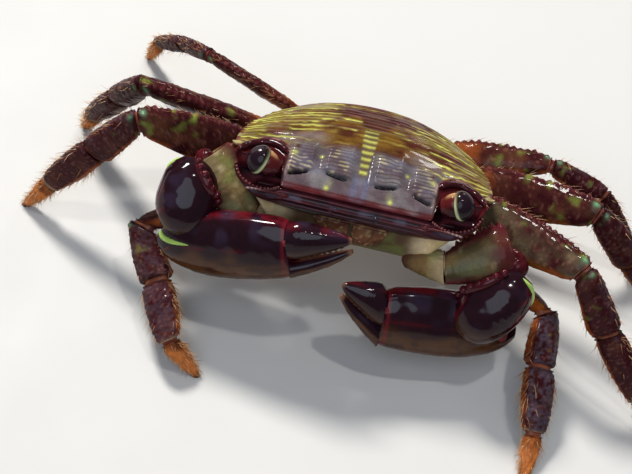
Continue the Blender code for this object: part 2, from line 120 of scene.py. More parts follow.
# Half widths of the plan, and heights of the middle and of the edge, each against y.
HALF_WIDTHS = ((-12.5, 19.2), (-10.9, 18.9), (-7.5, 20.0), (0.2, 19.1), (5.0, 17.4), (8.9, 15.6),
               (12.3, 13.1), (15.8, 10.4))
CROWN = ((-15.6, -6.7), (-12.5, -4.5), (-8.5, -2.2), (-4.8, -0.6), (0.0, 0.0), (5.0, -0.1),
         (9.0, -0.8), (12.5, -2.2), (16.0, -4.2))
EDGE = ((-15.6, -6.6), (-12.5, -3.9), (-7.5, -4.1), (0.2, -4.5), (8.9, -5.0), (16.0, -5.2))
CROWN_POWER = 2.3
SHIELD_FLOOR = -7.3
SHELL_COLUMNS, SHELL_ROWS = 330, 262
# Front lobes of the left half: middle, half width and front end, and the slope of each front end.
LOBES = ((3.8, 2.7, -12.6), (9.5, 2.4, -13.3))
LOBE_SLOPES = (0.12, -0.30)
LOBE_HEIGHT, LOBE_LENGTH = 0.46, 7.4
# Arch over each eye, y against x, and where it fades out at its two ends.
ORBIT_ARCH = ((11.2, -11.4), (11.8, -10.0), (13.2, -8.7), (15.0, -8.2), (16.7, -8.7), (17.9, -9.8),
              (18.9, -11.8))
SOCKET_ENDS = ((11.3, 11.9), (18.4, 19.0))
# Distance between raised lines, and the shares of it between fine lines and between rungs.
LINE_PITCH, FINE_PITCH, RUNG_PITCH = 1.2, 0.52, 0.96
# Ends of the dark paths, and x, y, size and share of the bright spots of the front field.
DARK_PATHS = (((11.0, -8.0), (4.5, -2.0)), ((8.0, -3.5), (3.5, 3.0)), ((4.0, 3.0), (5.2, 9.5)))
FIELD_SPOTS = ((4.9, -14.45, 0.34, 0.95), (4.6, -13.7, 0.5, 0.15), (6.6, -9.9, 0.28, 0.7),
               (10.7, -10.5, 0.5, 0.5))

# Underside: level, share of the carapace's half width, front and rear. Below the last level, rings
# close at shares of its size, with a groove at each y.
TRUNK_LEVELS = ((-7.6, 0.80, -13.7, 14.2), (-9.6, 0.78, -13.6, 13.8), (-12.2, 0.66, -13.0, 12.4),
                (-14.0, 0.48, -11.6, 10.6))
STERNUM_SLOPE = 0.06
UNDERSIDE_RINGS = (0.97, 0.92, 0.84, 0.74, 0.62, 0.5, 0.36, 0.2, 0.08)
STERNUM_GROOVES = (-9.0, -5.2, -1.4, 2.4, 6.0)
# Tail flap: places and half widths along its folded line, and the joints between its segments.
FLAP = (((15.3, -7.9), 5.6), ((14.9, -11.0), 5.6), ((12.9, -14.2), 5.2), ((7.0, -15.1), 3.9),
        ((0.0, -15.5), 2.6), ((-5.5, -15.8), 1.1))
FLAP_HALF_THICKNESS = 0.55
FLAP_FOLDS = (0.14, 0.3, 0.46, 0.61, 0.76, 0.9)

# Walking legs, front to rear: bases, lengths after the merus, and scales of the merus and the rest.
LEG_BASES = ((15.2, -5.0, -11.0), (16.0, 1.5, -8.9), (14.8, 8.2, -8.2), (11.0, 14.3, -7.0))
LEG_LENGTHS = ((9.1, 10.2, 7.4), (10.7, 12.2, 8.6), (10.5, 12.5, 8.4), (9.6, 10.6, 7.8))
LEG_WIDTHS = ((0.85, 1.06), (1.0, 1.0), (0.98, 0.98), (0.68, 0.72))
LEG_SEGMENTS = ("merus", "carpus", "propodus", "dactyl")
LEG_NUMBERS = (1, 2, 3, 4)
# Stance: length, bearing and rise of the merus; bearing of the next two, and the rise of each; bearing
# of the dactyl; and how far the merus and the rest lean back. A bearing of 0 points straight out from
# the body, and a positive one turns to the rear.
STANCE = {
    ("left", 1): (20.0, -22, -23, -83, -16, -33, -91, 50, 15),
    ("left", 2): (24.0, -34, 9, -32, -45, -44, -32, 45, 25),
    ("left", 3): (24.4, -21, 16, -8, -42, -44, -8, 45, 25),
    ("left", 4): (18.5, -4, 9, -11, -12, -53, -11, 40, 20),
    ("right", 1): (19.5, -27, -23, -117, -26, -11, -168, 50, 15),
    ("right", 2): (21.7, -21, 21, -1, -51, -57, 8, 35, 25),
    ("right", 3): (24.2, -16, 25, 42, -53, -58, 60, -12, -5),
    ("right", 4): (18.6, 14, 14, 49, -31, -42, 49, 0, 0),
}
# Profiles: share of the length, top, bottom and half thickness.
LEG_PROFILES = {
    "merus": ((0.0, 1.3, -1.3, 1.1), (0.1, 1.6, -1.7, 1.25), (0.22, 2.5, -3.0, 1.5),
              (0.42, 3.1, -4.1, 1.7), (0.65, 3.1, -3.7, 1.65), (0.86, 2.8, -2.7, 1.6),
              (1.0, 2.3, -2.0, 1.35)),
    "carpus": ((0.0, 2.0, -1.6, 1.3), (0.2, 2.4, -2.0, 1.55), (0.6, 2.5, -2.6, 1.7),
               (0.88, 2.3, -2.9, 1.6), (1.0, 2.0, -2.6, 1.4)),
    "propodus": ((0.0, 1.9, -2.4, 1.3), (0.18, 2.3, -2.6, 1.5), (0.55, 2.3, -2.5, 1.45),
                 (0.88, 1.9, -2.0, 1.25), (1.0, 1.6, -1.7, 1.1)),
    "dactyl": ((0.0, 1.3, -1.3, 1.0), (0.2, 1.4, -1.5, 1.05), (0.6, 1.0, -1.1, 0.85),
               (1.0, 0.5, -0.5, 0.5)),
}
# Share of the length and radius of a leg's base.
HIP_PROFILE = ((0.0, 1.9), (0.3, 2.35), (0.45, 1.9), (0.52, 1.75), (0.7, 2.0), (1.0, 1.2))
JOINT_SCALE = 0.80
LEG_TEETH_PITCH = 1.15
# How far along a leg's merus the orange-brown of its base reaches, by the leg's number. It is partly the
# leg's colour and partly a painted glow of light shining through.
AMBER_REACH = {1: 0.50, 2: 0.24, 3: 0.40, 4: 0.60}

# Claw arms, in the row frame.
CLAW_JOINTS = ("root", "shoulder", "elbow", "carpus_top", "carpus_end", "heel", "palm_end", "hinge",
               "tip")
CLAW_POINTS = {
    "left": ((9.6, -16.4, 17.6), (15.5, -18.0, 18.8), (24.4, -14.2, 22.8), (27.4, -17.5, 20.8),
             (20.2, -24.2, 11.9), (30.1, -19.3, 10.4), (7.8, -24.3, 12.0), (7.6, -24.1, 13.6),
             (0.8, -24.1, 17.0)),
    "right": ((-9.6, -14.7, 17.4), (-15.2, -16.5, 18.4), (-23.3, -11.7, 24.9), (-25.3, -13.1, 25.0),
              (-24.9, -21.6, 16.6), (-27.9, -21.1, 14.4), (-8.2, -22.6, 20.7), (-8.4, -22.7, 22.2),
              (0.7, -21.7, 24.6)),
}
PALM_LENGTH = 21.0
PALM_UP = {"left": (0.0, 0.55, 0.83), "right": (0.0, 0.40, 0.92)}
ARM_FACE = np.array((0.0, -0.55, 0.83))
FINGER_BASE_DROP, FINGER_TIP_DROP = 3.3, 1.7
# Shares of the way from the palm to its fixed finger at which the web between them has rows.
WEB_ROWS = np.linspace(0.14, 0.86, 6)
ARM_PARTS = ("ischium", "merus")
CLAW_PARTS = (*ARM_PARTS, "carpus", "propodus", "dactyl")
CLAW_PROFILES = {
    "ischium": ((0.0, 1.7, -1.7, 1.5), (0.5, 2.2, -2.2, 1.9), (1.0, 2.5, -2.5, 1.9)),
    "merus": ((0.0, 2.4, -2.4, 1.7), (0.25, 3.0, -3.2, 2.1), (0.6, 3.6, -4.0, 2.4),
              (0.85, 3.8, -4.3, 2.4), (1.0, 3.4, -3.9, 2.1)),
    "carpus": ((0.0, 1.6, -1.6, 1.6), (0.08, 2.9, -2.9, 2.8), (0.24, 4.1, -4.1, 3.8),
               (0.5, 4.7, -4.7, 4.2), (0.76, 4.3, -4.3, 3.9), (0.93, 2.9, -2.9, 2.8),
               (1.0, 1.6, -1.6, 1.6)),
    "palm": ((0.0, 0.8, -1.6, 1.0), (0.07, 2.4, -3.2, 1.9), (0.2, 4.0, -4.6, 2.7),
             (0.42, 5.0, -5.5, 3.2), (0.7, 5.2, -5.5, 3.2), (0.92, 4.8, -5.0, 2.9),
             (1.0, 4.2, -4.6, 2.5)),
    "fixed_finger": ((0.0, 1.35, -1.3, 1.8), (0.3, 0.9, -1.4, 1.4), (0.7, 0.55, -1.1, 0.9),
                     (1.0, 0.35, -0.4, 0.4)),
    "dactyl": ((0.0, 3.0, -2.6, 2.0), (0.15, 3.2, -2.6, 2.2), (0.45, 2.5, -2.0, 1.9),
               (0.75, 1.5, -1.3, 1.2), (0.93, 0.7, -0.7, 0.7), (1.0, 0.3, -0.4, 0.35)),
}

# Head, for the crab's left side in the body frame.
EYE_ROOT = (12.5, -13.9, -4.8)
EYE_JOINT = (15.0, -14.0, -4.0)
EYE_AXIS = (0.74, -0.52, 0.42)
EYE_LENGTH, EYE_GAP = 2.6, 0.06
EYESTALK_PROFILE = ((0.0, 1.1, -1.3, 1.1), (0.4, 1.7, -1.9, 1.5), (0.8, 2.0, -2.0, 1.7),
                    (1.0, 1.9, -1.9, 1.7))
EYE_DOME = ((0.22, 0.10), (0.48, 0.05), (0.74, 0.0), (0.92, 0.0))
CORNEA_SWELL = 1.13
CORNEA_PROFILE = ((0.0, 1.95, -1.95, 1.75), (0.3, 2.0, -2.0, 1.8), (0.6, 1.7, -1.7, 1.5),
                  (0.85, 1.1, -1.1, 0.95), (1.0, 0.4, -0.4, 0.35))
ANTENNA_ROOT = (9.6, -15.0, -8.3)
ANTENNA_TIP = (16.6, -17.0, -7.6)
ANTENNA_PROFILE = ((0.0, 0.8, -0.8, 0.8), (0.2, 0.8, -0.8, 0.8), (0.3, 0.42, -0.42, 0.42),
                   (1.0, 0.26, -0.26, 0.26))
JAW_TOP, JAW_BOTTOM = (0.0, -14.75, -8.3), (0.0, -13.9, -13.6)
JAW_PROFILE = ((0.0, 5.4, 0.6, 0.5), (0.3, 5.9, 0.3, 0.6), (0.7, 5.2, 0.3, 0.6), (1.0, 3.4, 0.8, 0.5))
# Lower rim of the eye socket: share of its length and place.
LOWER_RIM = ((0.0, 11.7, -15.3, -7.2), (0.25, 13.2, -15.3, -7.9), (0.5, 15.6, -14.9, -8.1),
             (0.75, 17.9, -13.7, -7.5), (1.0, 19.1, -12.4, -6.0))
# Cheek plate: share of the way from the middle to its outer end, and place, of its three edges.
CHEEK_RIM = ((0.0, 0.0, -15.45, -7.05), (0.55, 11.2, -15.4, -7.05), (0.65, 13.2, -15.3, -7.75),
             (0.78, 15.6, -14.9, -8.0), (0.9, 17.9, -13.7, -7.4), (1.0, 19.0, -12.5, -6.1))
CHEEK_FOOT = ((0.0, 0.0, -14.7, -10.4), (0.55, 10.2, -14.5, -10.4), (0.78, 14.6, -13.2, -10.2),
              (0.92, 16.8, -12.0, -9.0), (1.0, 18.3, -11.6, -7.0))
CHEEK_BACK = ((0.0, 0.0, -13.6, -7.2), (0.55, 11.2, -13.4, -7.2), (0.62, 12.2, -11.9, -7.0),
              (0.9, 17.6, -11.7, -6.8), (1.0, 18.8, -11.9, -6.0))
# Ridges of the mouth frame: level, y, half width, radius and colour.
MOUTH_RIDGES = ((-7.75, -15.20, 10.8, 0.34, rgb(68, 25, 29)), (-8.35, -15.05, 10.4, 0.28, rgb(60, 18, 24)),
                (-8.95, -14.95, 10.0, 0.30, rgb(74, 31, 33)), (-9.55, -14.85, 9.4, 0.26, rgb(64, 24, 28)),
                (-10.2, -14.75, 8.8, 0.26, rgb(86, 46, 38)))
# Antennules and the rolls beside them: share of the length and place, radius and colour.
FACE_ROLLS = (
    (((0.0, 1.3, -15.4, -8.4), (0.4, 2.4, -15.8, -8.3), (0.8, 3.7, -15.8, -8.2), (1.0, 4.4, -15.3, -8.1)),
     0.30, rgb(52, 42, 54)),
    (((0.0, 4.4, -15.5, -8.0), (0.5, 3.4, -15.9, -8.9), (1.0, 1.9, -15.4, -9.3)), 0.20, rgb(58, 40, 46)),
    (((0.0, 5.4, -15.2, -8.5), (0.5, 6.8, -15.55, -8.4), (1.0, 8.4, -15.4, -8.3)), 0.4, rgb(70, 26, 32)))

# Camera: turn, height and roll in degrees, the point it faces and its distance, and its lens.
CAMERA_ANGLES = (1.5, 50.2, 11.9)
CAMERA_TARGET, CAMERA_DISTANCE = (-4.974, -10.442, 10.0), 303.0
CAMERA_LENS = 109.14
# Half width of the floor, in metres.
FLOOR_REACH = 3.0


# Curves, places and noise


def curve(stations, x):
    """Hermite curve through stations (x, value, ...), each slope taken from the two neighbours."""
    table = np.array(stations, float)
    at, values = table[:, 0], table[:, 1:]
    x = np.clip(np.asarray(x, float), at[0], at[-1])
    i = np.clip(np.searchsorted(at, x) - 1, 0, len(at) - 2)
    number = np.arange(len(at))
    lower, upper = np.maximum(number - 1, 0), np.minimum(number + 1, len(at) - 1)
    slope = (values[upper] - values[lower]) / (at[upper] - at[lower])[:, None]
    step = (at[i + 1] - at[i])[..., None]
    t = (x - at[i])[..., None] / step
    found = (values[i] * (1 + 2 * t) * (1 - t) ** 2 + values[i + 1] * t * t * (3 - 2 * t)
             + slope[i] * step * t * (1 - t) ** 2 - slope[i + 1] * step * t * t * (1 - t))
    return found[..., 0] if values.shape[1] == 1 else found


def through(points, at):
    """Smooth curve through points numbered from 0, read at whole and part numbers."""
    return curve([(number, *point) for number, point in enumerate(points)], at)


def ease(low, high, x):
    """0 below low, 1 above high, and a smooth step between."""
    t = np.clip((np.asarray(x, float) - low) / (high - low), 0.0, 1.0)
    return t * t * (3 - 2 * t)


def fade(low, high, x):
    """1 below low, 0 above high, and a smooth step between."""
    return 1 - ease(low, high, x)


def bump(x, middle, width):
    """Bell of height 1 at the middle: e to the minus square of the distance over the width."""
    return np.exp(-(((x - middle) / width) ** 2))


def sawtooth(x):
    """Whole number below each value, and the share of the way from it to the next."""
    whole = np.floor(x)
    return whole, x - whole


def round_ends(t, length, least=0.04):
    """Scale of 1 that falls as a root over a length at both ends of the way from 0 to 1."""
    return np.sqrt(np.clip(np.minimum(t, 1 - t) / length, least, 1.0))


def spindle(t, fullness=1.0, least=0.05):
    """Scale of a rounded body: the root of 4 t (1 - t) over its fullness, at most 1."""
    return np.sqrt(np.clip(4 * t * (1 - t) / fullness, least, 1))


def blend(first, second, share):
    """Colours mixed by a share from 0 to 1 at each point."""
    return first + (second - first) * np.clip(share, 0.0, 1.0)[..., None]


def painted(tint, *coats):
    """Tint with coats laid over it in turn, each a colour and its share at each point."""
    for colour, share in coats:
        tint = blend(tint, np.array(colour), share)
    return tint


def plain(colour, grid):
    """One colour at every point of a grid."""
    return np.broadcast_to(np.array(colour), grid.shape)


def coated(grid, colour, *coats):
    """One colour at every point of a grid, with coats laid over it in turn."""
    return painted(plain(colour, grid), *coats)


def hashed(cells, seed):
    """Value from 0 to 1 for each row of whole numbers: the fraction of a large sine of a weighted sum."""
    wave = np.sin(cells @ np.array((127.1, 311.7, 74.7))[:cells.shape[-1]] + seed * 19.19) * 43758.5453
    return wave - np.floor(wave)


def mottle(points, size, seed=0):
    """Random field from -1 to 1: a hashed value at each corner of a lattice, eased in between."""
    q = np.asarray(points, float) / size + 100.0
    cell = np.floor(q)
    t = q - cell
    t = t * t * (3 - 2 * t)
    total = 0.0
    for corner in np.ndindex(*(2,) * q.shape[-1]):
        share = np.prod(np.where(np.array(corner) == 1, t, 1 - t), axis=-1)
        total = total + share * hashed(cell + corner, seed)
    return total * 2 - 1


def unit(vector):
    """Vector, or each vector of an array, brought to a length of 1."""
    vector = np.asarray(vector, float)
    return vector / np.linalg.norm(vector, axis=-1, keepdims=True)


def middle_of(grid):
    """Mean point of a grid or of one of its rings."""
    return grid.reshape(-1, 3).mean(0)


def place_of(origin, along, dorsal):
    """Place with its first axis along a segment and its third to the dorsal side."""
    along = unit(along)
    dorsal = np.asarray(dorsal, float)
    dorsal = unit(dorsal - (dorsal @ along) * along)
    return np.asarray(origin, float), np.stack((along, np.cross(dorsal, along), dorsal), axis=1)


def out_of(place, points):
    """Points of a place's own axes in the frame round it."""
    return place[0] + np.asarray(points) @ place[1].T


def body_skin(grid, tint):
    """Skin of a closed tube given in the body frame."""
    points, faces, colours = tube(grid, tint)
    return row_point(points), faces, colours


BODY = (np.array((0.0, 0.0, BODY_HEIGHT)),
        np.array(((1.0, 0.0, 0.0),
                  (0.0, math.cos(BODY_PITCH), math.sin(BODY_PITCH)),
                  (0.0, -math.sin(BODY_PITCH), math.cos(BODY_PITCH)))))


def row_shift():
    """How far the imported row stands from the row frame: the carapace's box against its front margin."""
    low, high = (np.array(corner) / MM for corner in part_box("carapace"))
    margin = out_of(BODY, np.array((0.0, *CROWN[0])))
    return np.array(((low[0] + high[0]) / 2, low[1] - margin[1], 0.0))


SHIFT = row_shift()


def world(points):
    """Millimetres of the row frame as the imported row's metres."""
    return (np.asarray(points) + SHIFT) * MM


def mirrored(vector, side):
    """A point or direction given for the left side, on the side asked for."""
    return np.array(vector, float) * ((1.0, 1.0, 1.0) if side == "left" else (-1.0, 1.0, 1.0))


# Grids: arrays of rows by columns by 3, from which every skin is made


def grid_normals(grid, around=True):
    """Outward unit normals: the cross product of the differences across and along the grid."""
    if around:
        across = np.roll(grid, -1, axis=1) - np.roll(grid, 1, axis=1)
    else:
        across = np.gradient(grid, axis=1)
    normal = np.cross(across, np.gradient(grid, axis=0))
    return normal / np.maximum(np.linalg.norm(normal, axis=-1, keepdims=True), 1e-9)


def push(grid, amount, around=True):
    """Grid moved out along its normals by an amount at each point."""
    return grid + grid_normals(grid, around) * amount[..., None]


def tube_faces(rows, sides):
    """Quads round a tube, with fans of triangles to the two poles that close it."""
    i, j = np.meshgrid(np.arange(rows - 1), np.arange(sides), indexing="ij")
    a, b = i * sides + j, i * sides + (j + 1) % sides
    quads = np.stack((a, b, b + sides, a + sides), -1).reshape(-1, 4)
    k = np.arange(sides)
    after, pole, last = (k + 1) % sides, rows * sides, (rows - 1) * sides
    near = np.stack((np.full(sides, pole), after, k), -1)
    far = np.stack((np.full(sides, pole + 1), last + k, last + after), -1)
    return quads.tolist() + near.tolist() + far.tolist()


def with_poles(values):
    """Values of a grid as one list, with the mean of the first and of the last row for the poles."""
    flat = values.reshape(-1, *values.shape[2:])
    return np.concatenate((flat, values[0].mean(0)[None], values[-1].mean(0)[None]))


def make_piece(name, skin, slot, kind, nodes=(), uv=None):
    """Mesh object of a skin (points in the row frame, faces, tint) in the material of a kind, with the
    nodes that it stands for, which it hides. Its slot is not used. It has a UV layer if one is given as a
    name and its values."""
    points, faces, tint = skin
    mesh = bpy.data.meshes.new(name)
    mesh.from_pydata(world(points).tolist(), [], faces)
    colours = np.concatenate((np.clip(tint, 0, 1), np.ones((len(tint), 1))), 1).astype(np.float32)
    mesh.attributes.new("tint", "FLOAT_COLOR", "POINT").data.foreach_set("color", colours.ravel())
    if uv is not None:
        mesh.uv_layers.new(name=uv[0]).data.foreach_set("uv", uv[1].astype(np.float32).ravel())
    mesh.materials.append(material(kind))
    mesh.shade_smooth()
    piece = bpy.data.objects.new(name, mesh)
    bpy.context.scene.collection.objects.link(piece)
    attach(piece, "root")
    if nodes:
        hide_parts(*nodes)


def joined(*skins):
    """Several skins as one: each list of faces is moved on by the points before it."""
    faces, before = [], 0
    for points, skin_faces, _ in skins:
        faces += [[corner + before for corner in face] for face in skin_faces]
        before += len(points)
    return np.concatenate([skin[0] for skin in skins]), faces, np.concatenate([skin[2] for skin in skins])


def tube(grid, tint):
    """Skin (points, faces, tint) of a closed tube."""
    return with_poles(grid), tube_faces(*grid.shape[:2]), with_poles(tint)


def plain_tube(grid, colour):
    """Skin of a closed tube in one colour."""
    return tube(grid, plain(colour, grid))


# Segments: a profile carried along a straight axis and mitred on two end planes


LIP = ((0.50, 0.62), (0.78, 0.50), (0.90, 0.26), (0.97, 0.07))
DOME = ((0.30, -0.85), (0.60, -0.66), (0.82, -0.38), (0.94, -0.14))
ROUND = ((0.35, 0.0), (0.62, 0.0), (0.82, 0.0), (0.94, 0.0))


def end_distance(plane, place, y, z):
    """Where the line along the first axis through (y, z) meets a plane given as a point and a normal."""
    point = (np.asarray(plane[0]) - place[0]) @ place[1]
    normal = np.asarray(plane[1]) @ place[1]
    return point[0] - (normal[1] * (y - point[1]) + normal[2] * (z - point[2])) / normal[0]


def squared(value, roundness):
    """Cosine or sine of a superellipse: its sign times its size to the power 2 over the roundness."""
    return np.sign(value) * np.abs(value) ** (2 / roundness)


def ring_angles(sides):
    """Angles of the points round a section, half a step on from 0."""
    return 2 * np.pi * (np.arange(sides) + 0.5) / sides


def segment(place, profile, start, end, rows, sides, roundness=2.0, caps=(LIP, LIP)):
    """Skin of one segment: a superellipse of the profile's top, bottom and half thickness at each share
    of the way between the end planes. Each cap's rows shrink the end section by a scale and sink it."""
    near_cap, far_cap = (np.array(cap).reshape(-1, 2) for cap in caps)
    share = np.concatenate((0 * near_cap[:, 0], np.linspace(0, 1, rows), far_cap[:, 0] * 0 + 1))[:, None]
    scale = np.concatenate((near_cap[:, 0], np.ones(rows), far_cap[::-1, 0]))[:, None]
    sink = np.concatenate((near_cap[:, 1], np.zeros(rows), -far_cap[::-1, 1]))[:, None]
    angle = ring_angles(sides)
    top, bottom, half = (curve(profile, share[:, 0])[:, k:k + 1] for k in range(3))
    y = squared(np.cos(angle), roundness) * half * scale
    z = squared(np.sin(angle), roundness) * (top - bottom) / 2 * scale + (top + bottom) / 2
    near, far = end_distance(start, place, y, z), end_distance(end, place, y, z)
    x = near + (far - near) * share + sink
    share, angle = np.broadcast_arrays(share, angle[None, :])
    inner = np.broadcast_to(scale < 0.95, share.shape)
    return {"grid": out_of(place, np.stack((x, y, z), -1)), "share": share, "angle": angle, "x": x,
            "back": np.sin(angle), "face": np.cos(angle), "inner": inner}


def before(joint, normal, gap=GAP):
    """Plane that ends a segment half a gap before a joint."""
    return np.asarray(joint) - unit(normal) * gap / 2, normal


def after(joint, normal, gap=GAP):
    """Plane that starts a segment half a gap after a joint."""
    return np.asarray(joint) + unit(normal) * gap / 2, normal


def ball(rings):
    """Points and faces of a unit ball as a small closed tube, with as many sides as rings."""
    tilt = np.linspace(np.pi, 0, rings)[1:-1, None]
    turn = 2 * np.pi * np.arange(rings) / rings
    grid = np.stack((np.cos(tilt) + 0 * turn, np.sin(tilt) * np.cos(turn), np.sin(tilt) * np.sin(turn)), -1)
    return with_poles(grid), tube_faces(*grid.shape[:2])


def beads(centres, sizes, colour, rings=6):
    """Skin of many small balls in one colour, each a unit ball times its size at its centre."""
    points, faces = ball(rings)
    sizes = np.asarray(sizes, float)
    skins = [(centre + points * size, faces, plain(colour, points)) for centre, size in zip(centres, sizes)]
    return joined(*skins)


def pipe(path, radius, sides=10):
    """Closed tube of a radius, or of one for each point, along a smooth path of points."""
    path, count = np.asarray(path, float), len(path)
    way = unit(np.gradient(path, axis=0))
    up = np.array((0.0, 0.0, 1.0)) if abs(way[:, 2]).max() < 0.95 else np.array((0.0, 1.0, 0.0))
    side = unit(np.cross(up, way))
    lift = np.cross(way, side)
    turn = 2 * np.pi * np.arange(sides) / sides
    size = np.broadcast_to(np.asarray(radius, float), (count,))[:, None, None]
    ring = np.cos(turn)[:, None] * side[:, None] + np.sin(turn)[:, None] * lift[:, None]
    return path[:, None] + size * ring


# Materials


def add_node(tree, kind, sockets=(), **settings):
    """Node of a kind with its settings, and with a value or a link from another socket in each of the
    sockets named."""
    made = tree.nodes.new(kind)
    for name, value in settings.items():
        setattr(made, name, value)
    fill_sockets(tree, made, dict(sockets))
    return made


def fill_sockets(tree, node, sockets):
    """Value, or link from another socket, in each of a node's sockets named."""
    for socket, value in sockets.items():
        if isinstance(value, bpy.types.NodeSocket):
            tree.links.new(value, node.inputs[socket])
        else:
            node.inputs[socket].default_value = value


def field(tree, place, scale, detail=3.0, rough=0.55):
    """Noise of a scale in cells per metre over Object coordinates."""
    noise = add_node(tree, "ShaderNodeTexNoise", {"Scale": scale, "Detail": detail, "Roughness": rough,
                                                  "Vector": place.outputs["Object"]})
    return noise.outputs["Fac"]


def ranged(tree, value, low, high):
    """A noise's middle range, 0.3 to 0.7, spread from low to high."""
    made = add_node(tree, "ShaderNodeMapRange", {"From Min": 0.3, "From Max": 0.7, "To Min": low,
                                                 "To Max": high, "Value": value})
    return made.outputs["Result"]


SHELL_IOR, WATER_IOR = 1.45, 1.33

# Roughness, coat, mottling, granules per metre, relief in mm, light inside, and roughness of the coat.
MATERIALS = {
    "Banded shell": ((0.22, 0.36), 0.38, 0.24, 2600.0, 0.045, 0.0, 0.05),
    "Wet claw shell": ((0.22, 0.38), 0.90, 0.12, 2200.0, 0.010, 0.0, 0.10),
    "Claw arm shell": ((0.30, 0.44), 0.32, 0.16, 2200.0, 0.025, 0.05, 0.07),
    "Leg shell": ((0.24, 0.38), 0.32, 0.24, 1700.0, 0.090, 0.0, 0.08),
    "Bristly leg tip": ((0.42, 0.62), 0.2, 0.30, 3400.0, 0.050, 0.10, 0.15),
    "Pale underside": ((0.36, 0.55), 0.3, 0.20, 2200.0, 0.040, 0.12, 0.12),
    "Eyestalk shell": ((0.25, 0.42), 0.7, 0.22, 3800.0, 0.020, 0.05, 0.06),
    "Cornea": ((0.16, 0.24), 0.7, 0.10, 9000.0, 0.004, 0.0, 0.12),
    "Joint skin": ((0.30, 0.46), 0.6, 0.15, 2400.0, 0.040, 0.30, 0.10),
    "Bristle": ((0.45, 0.60), 0.1, 0.25, 4000.0, 0.010, 0.10, 0.20),
    "Antenna shell": ((0.32, 0.48), 0.4, 0.20, 3600.0, 0.020, 0.05, 0.10),
}


def shell_material(name, rough, coat, mottling, grain, relief, inside, coat_rough):
    """Wet shell: the skin's own tint times two noises, uneven roughness, and a relief of noise and
    granules under a thin clear coat of water."""
    made = bpy.data.materials.new(name)
    made.use_nodes = True
    tree = made.node_tree
    place = add_node(tree, "ShaderNodeTexCoord")
    tint = add_node(tree, "ShaderNodeAttribute", attribute_name="tint")
    broad = ranged(tree, field(tree, place, 450.0), 1 - mottling, 1 + mottling)
    fine = ranged(tree, field(tree, place, 3200.0, 4.0, 0.7), 1 - mottling * 0.8, 1 + mottling * 0.8)
    both = add_node(tree, "ShaderNodeMath", {0: broad, 1: fine}, operation="MULTIPLY")
    scaled = add_node(tree, "ShaderNodeVectorMath", {0: tint.outputs["Color"], "Scale": both.outputs[0]},
                      operation="SCALE")
    roughness = ranged(tree, field(tree, place, 900.0), *rough)
    granules = add_node(tree, "ShaderNodeTexVoronoi", {"Scale": grain, "Vector": place.outputs["Object"]})
    heights = add_node(tree, "ShaderNodeMath", {0: granules.outputs["Distance"]}, operation="ADD")
    fill_sockets(tree, heights, {1: field(tree, place, grain * 0.7)})
    bumps = add_node(tree, "ShaderNodeBump",
                     {"Strength": 0.6, "Distance": relief * MM, "Height": heights.outputs[0]})
    fill_sockets(tree, tree.nodes["Principled BSDF"], {
        "Base Color": scaled.outputs[0], "Roughness": roughness, "Normal": bumps.outputs["Normal"],
        "IOR": SHELL_IOR, "Specular IOR Level": 0.0, "Coat Weight": coat, "Coat Roughness": coat_rough,
        "Coat IOR": WATER_IOR})
    if inside:
        fill_sockets(tree, tree.nodes["Principled BSDF"], {
            "Subsurface Weight": inside, "Subsurface Radius": (0.0012, 0.0006, 0.0004),
            "Subsurface Scale": 0.6})
    return made


# Slot and material of the legs and claws.
LEG_LOOKS, LEG_TIP_LOOKS = ("leg", "Leg shell"), ("leg_tip", "Bristly leg tip")
CLAW_LOOKS, CLAW_ARM_LOOKS = ("claw", "Wet claw shell"), ("claw_arm", "Claw arm shell")


def material(kind):
    """The material of a kind, made once."""
    return bpy.data.materials.get(kind) or shell_material(kind, *MATERIALS[kind])


# Carapace


def front_edge(x):
    """y of the front margin, which steps back behind each eye."""
    inner = ease(FRONT_HALF_WIDTH, FRONT_HALF_WIDTH + 0.9, np.abs(x))
    outer = ease(18.4, 19.2, np.abs(x))
    return FRONT_Y + (ORBIT_Y - FRONT_Y) * inner + (CORNER_Y - 0.4 - ORBIT_Y) * outer


def lobe_share(x, y):
    """How far each point is inside one of the four lobes, with the bowed line of its front end."""
    raised, slit = np.zeros_like(x), np.zeros_like(x)
    for (middle, half, front), slope in zip(LOBES, LOBE_SLOPES):
        off = (np.abs(x) - middle) / half
        across = fade(0.55, 1.08, np.abs(off))
        bow = front + slope * off * half + 0.30 * off ** 2
        behind = ease(bow - 0.10, bow + 0.24, y) * fade(front + 3.6, front + LOBE_LENGTH, y)
        raised = np.maximum(raised, across * behind)
        slit = np.maximum(slit, fade(0.42, 0.74, np.abs(off)) * bump(y, bow - 0.06, 0.15))
    return raised, slit


def orbit_shares(x, y):
    """Raised rim over each eye, along an arch that bows to the rear, and the recess in front of it."""
    wide = np.abs(x)
    arch = curve(ORBIT_ARCH, wide)
    inner, outer = SOCKET_ENDS
    inside = ease(*inner, wide) * fade(*outer, wide)
    return bump(y, arch - 0.1, 0.75) * inside, fade(arch - 0.6, arch + 0.5, y) * inside


def carapace_height(x, y):
    """Crown and edge curves joined across by a power of the share of the half width, with the lobes
    raised and the recesses over the eyes sunk."""
    share = np.minimum(np.abs(x) / curve(HALF_WIDTHS, y), 1.0)
    crown, edge = curve(CROWN, y), curve(EDGE, y)
    raised, slit = lobe_share(x, y)
    rim, recess = orbit_shares(x, y)
    relief = LOBE_HEIGHT * raised - 0.30 * slit + 0.45 * rim - 0.45 * recess
    return crown + (edge - crown) * share ** CROWN_POWER + relief


def line_pattern(x, y, pitch):
    """Number of the raised line at each point and the share of the way to the next: y over the pitch,
    bent back at the sides and waved a little by noise."""
    flat = np.stack((x, y), -1)
    wave = 0.35 * mottle(flat, 7.0, 3), 0.12 * mottle(flat, 2.2, 4)
    return sawtooth((y + wave[0] + wave[1] - 0.9 * ease(10.0, 20.0, np.abs(x))) / pitch)


def line_noise(x, line, length, seed):
    """Noise drawn out over a length along the lines, on its own for each line."""
    return mottle(np.stack((x / length, line), -1), 1.0, seed)


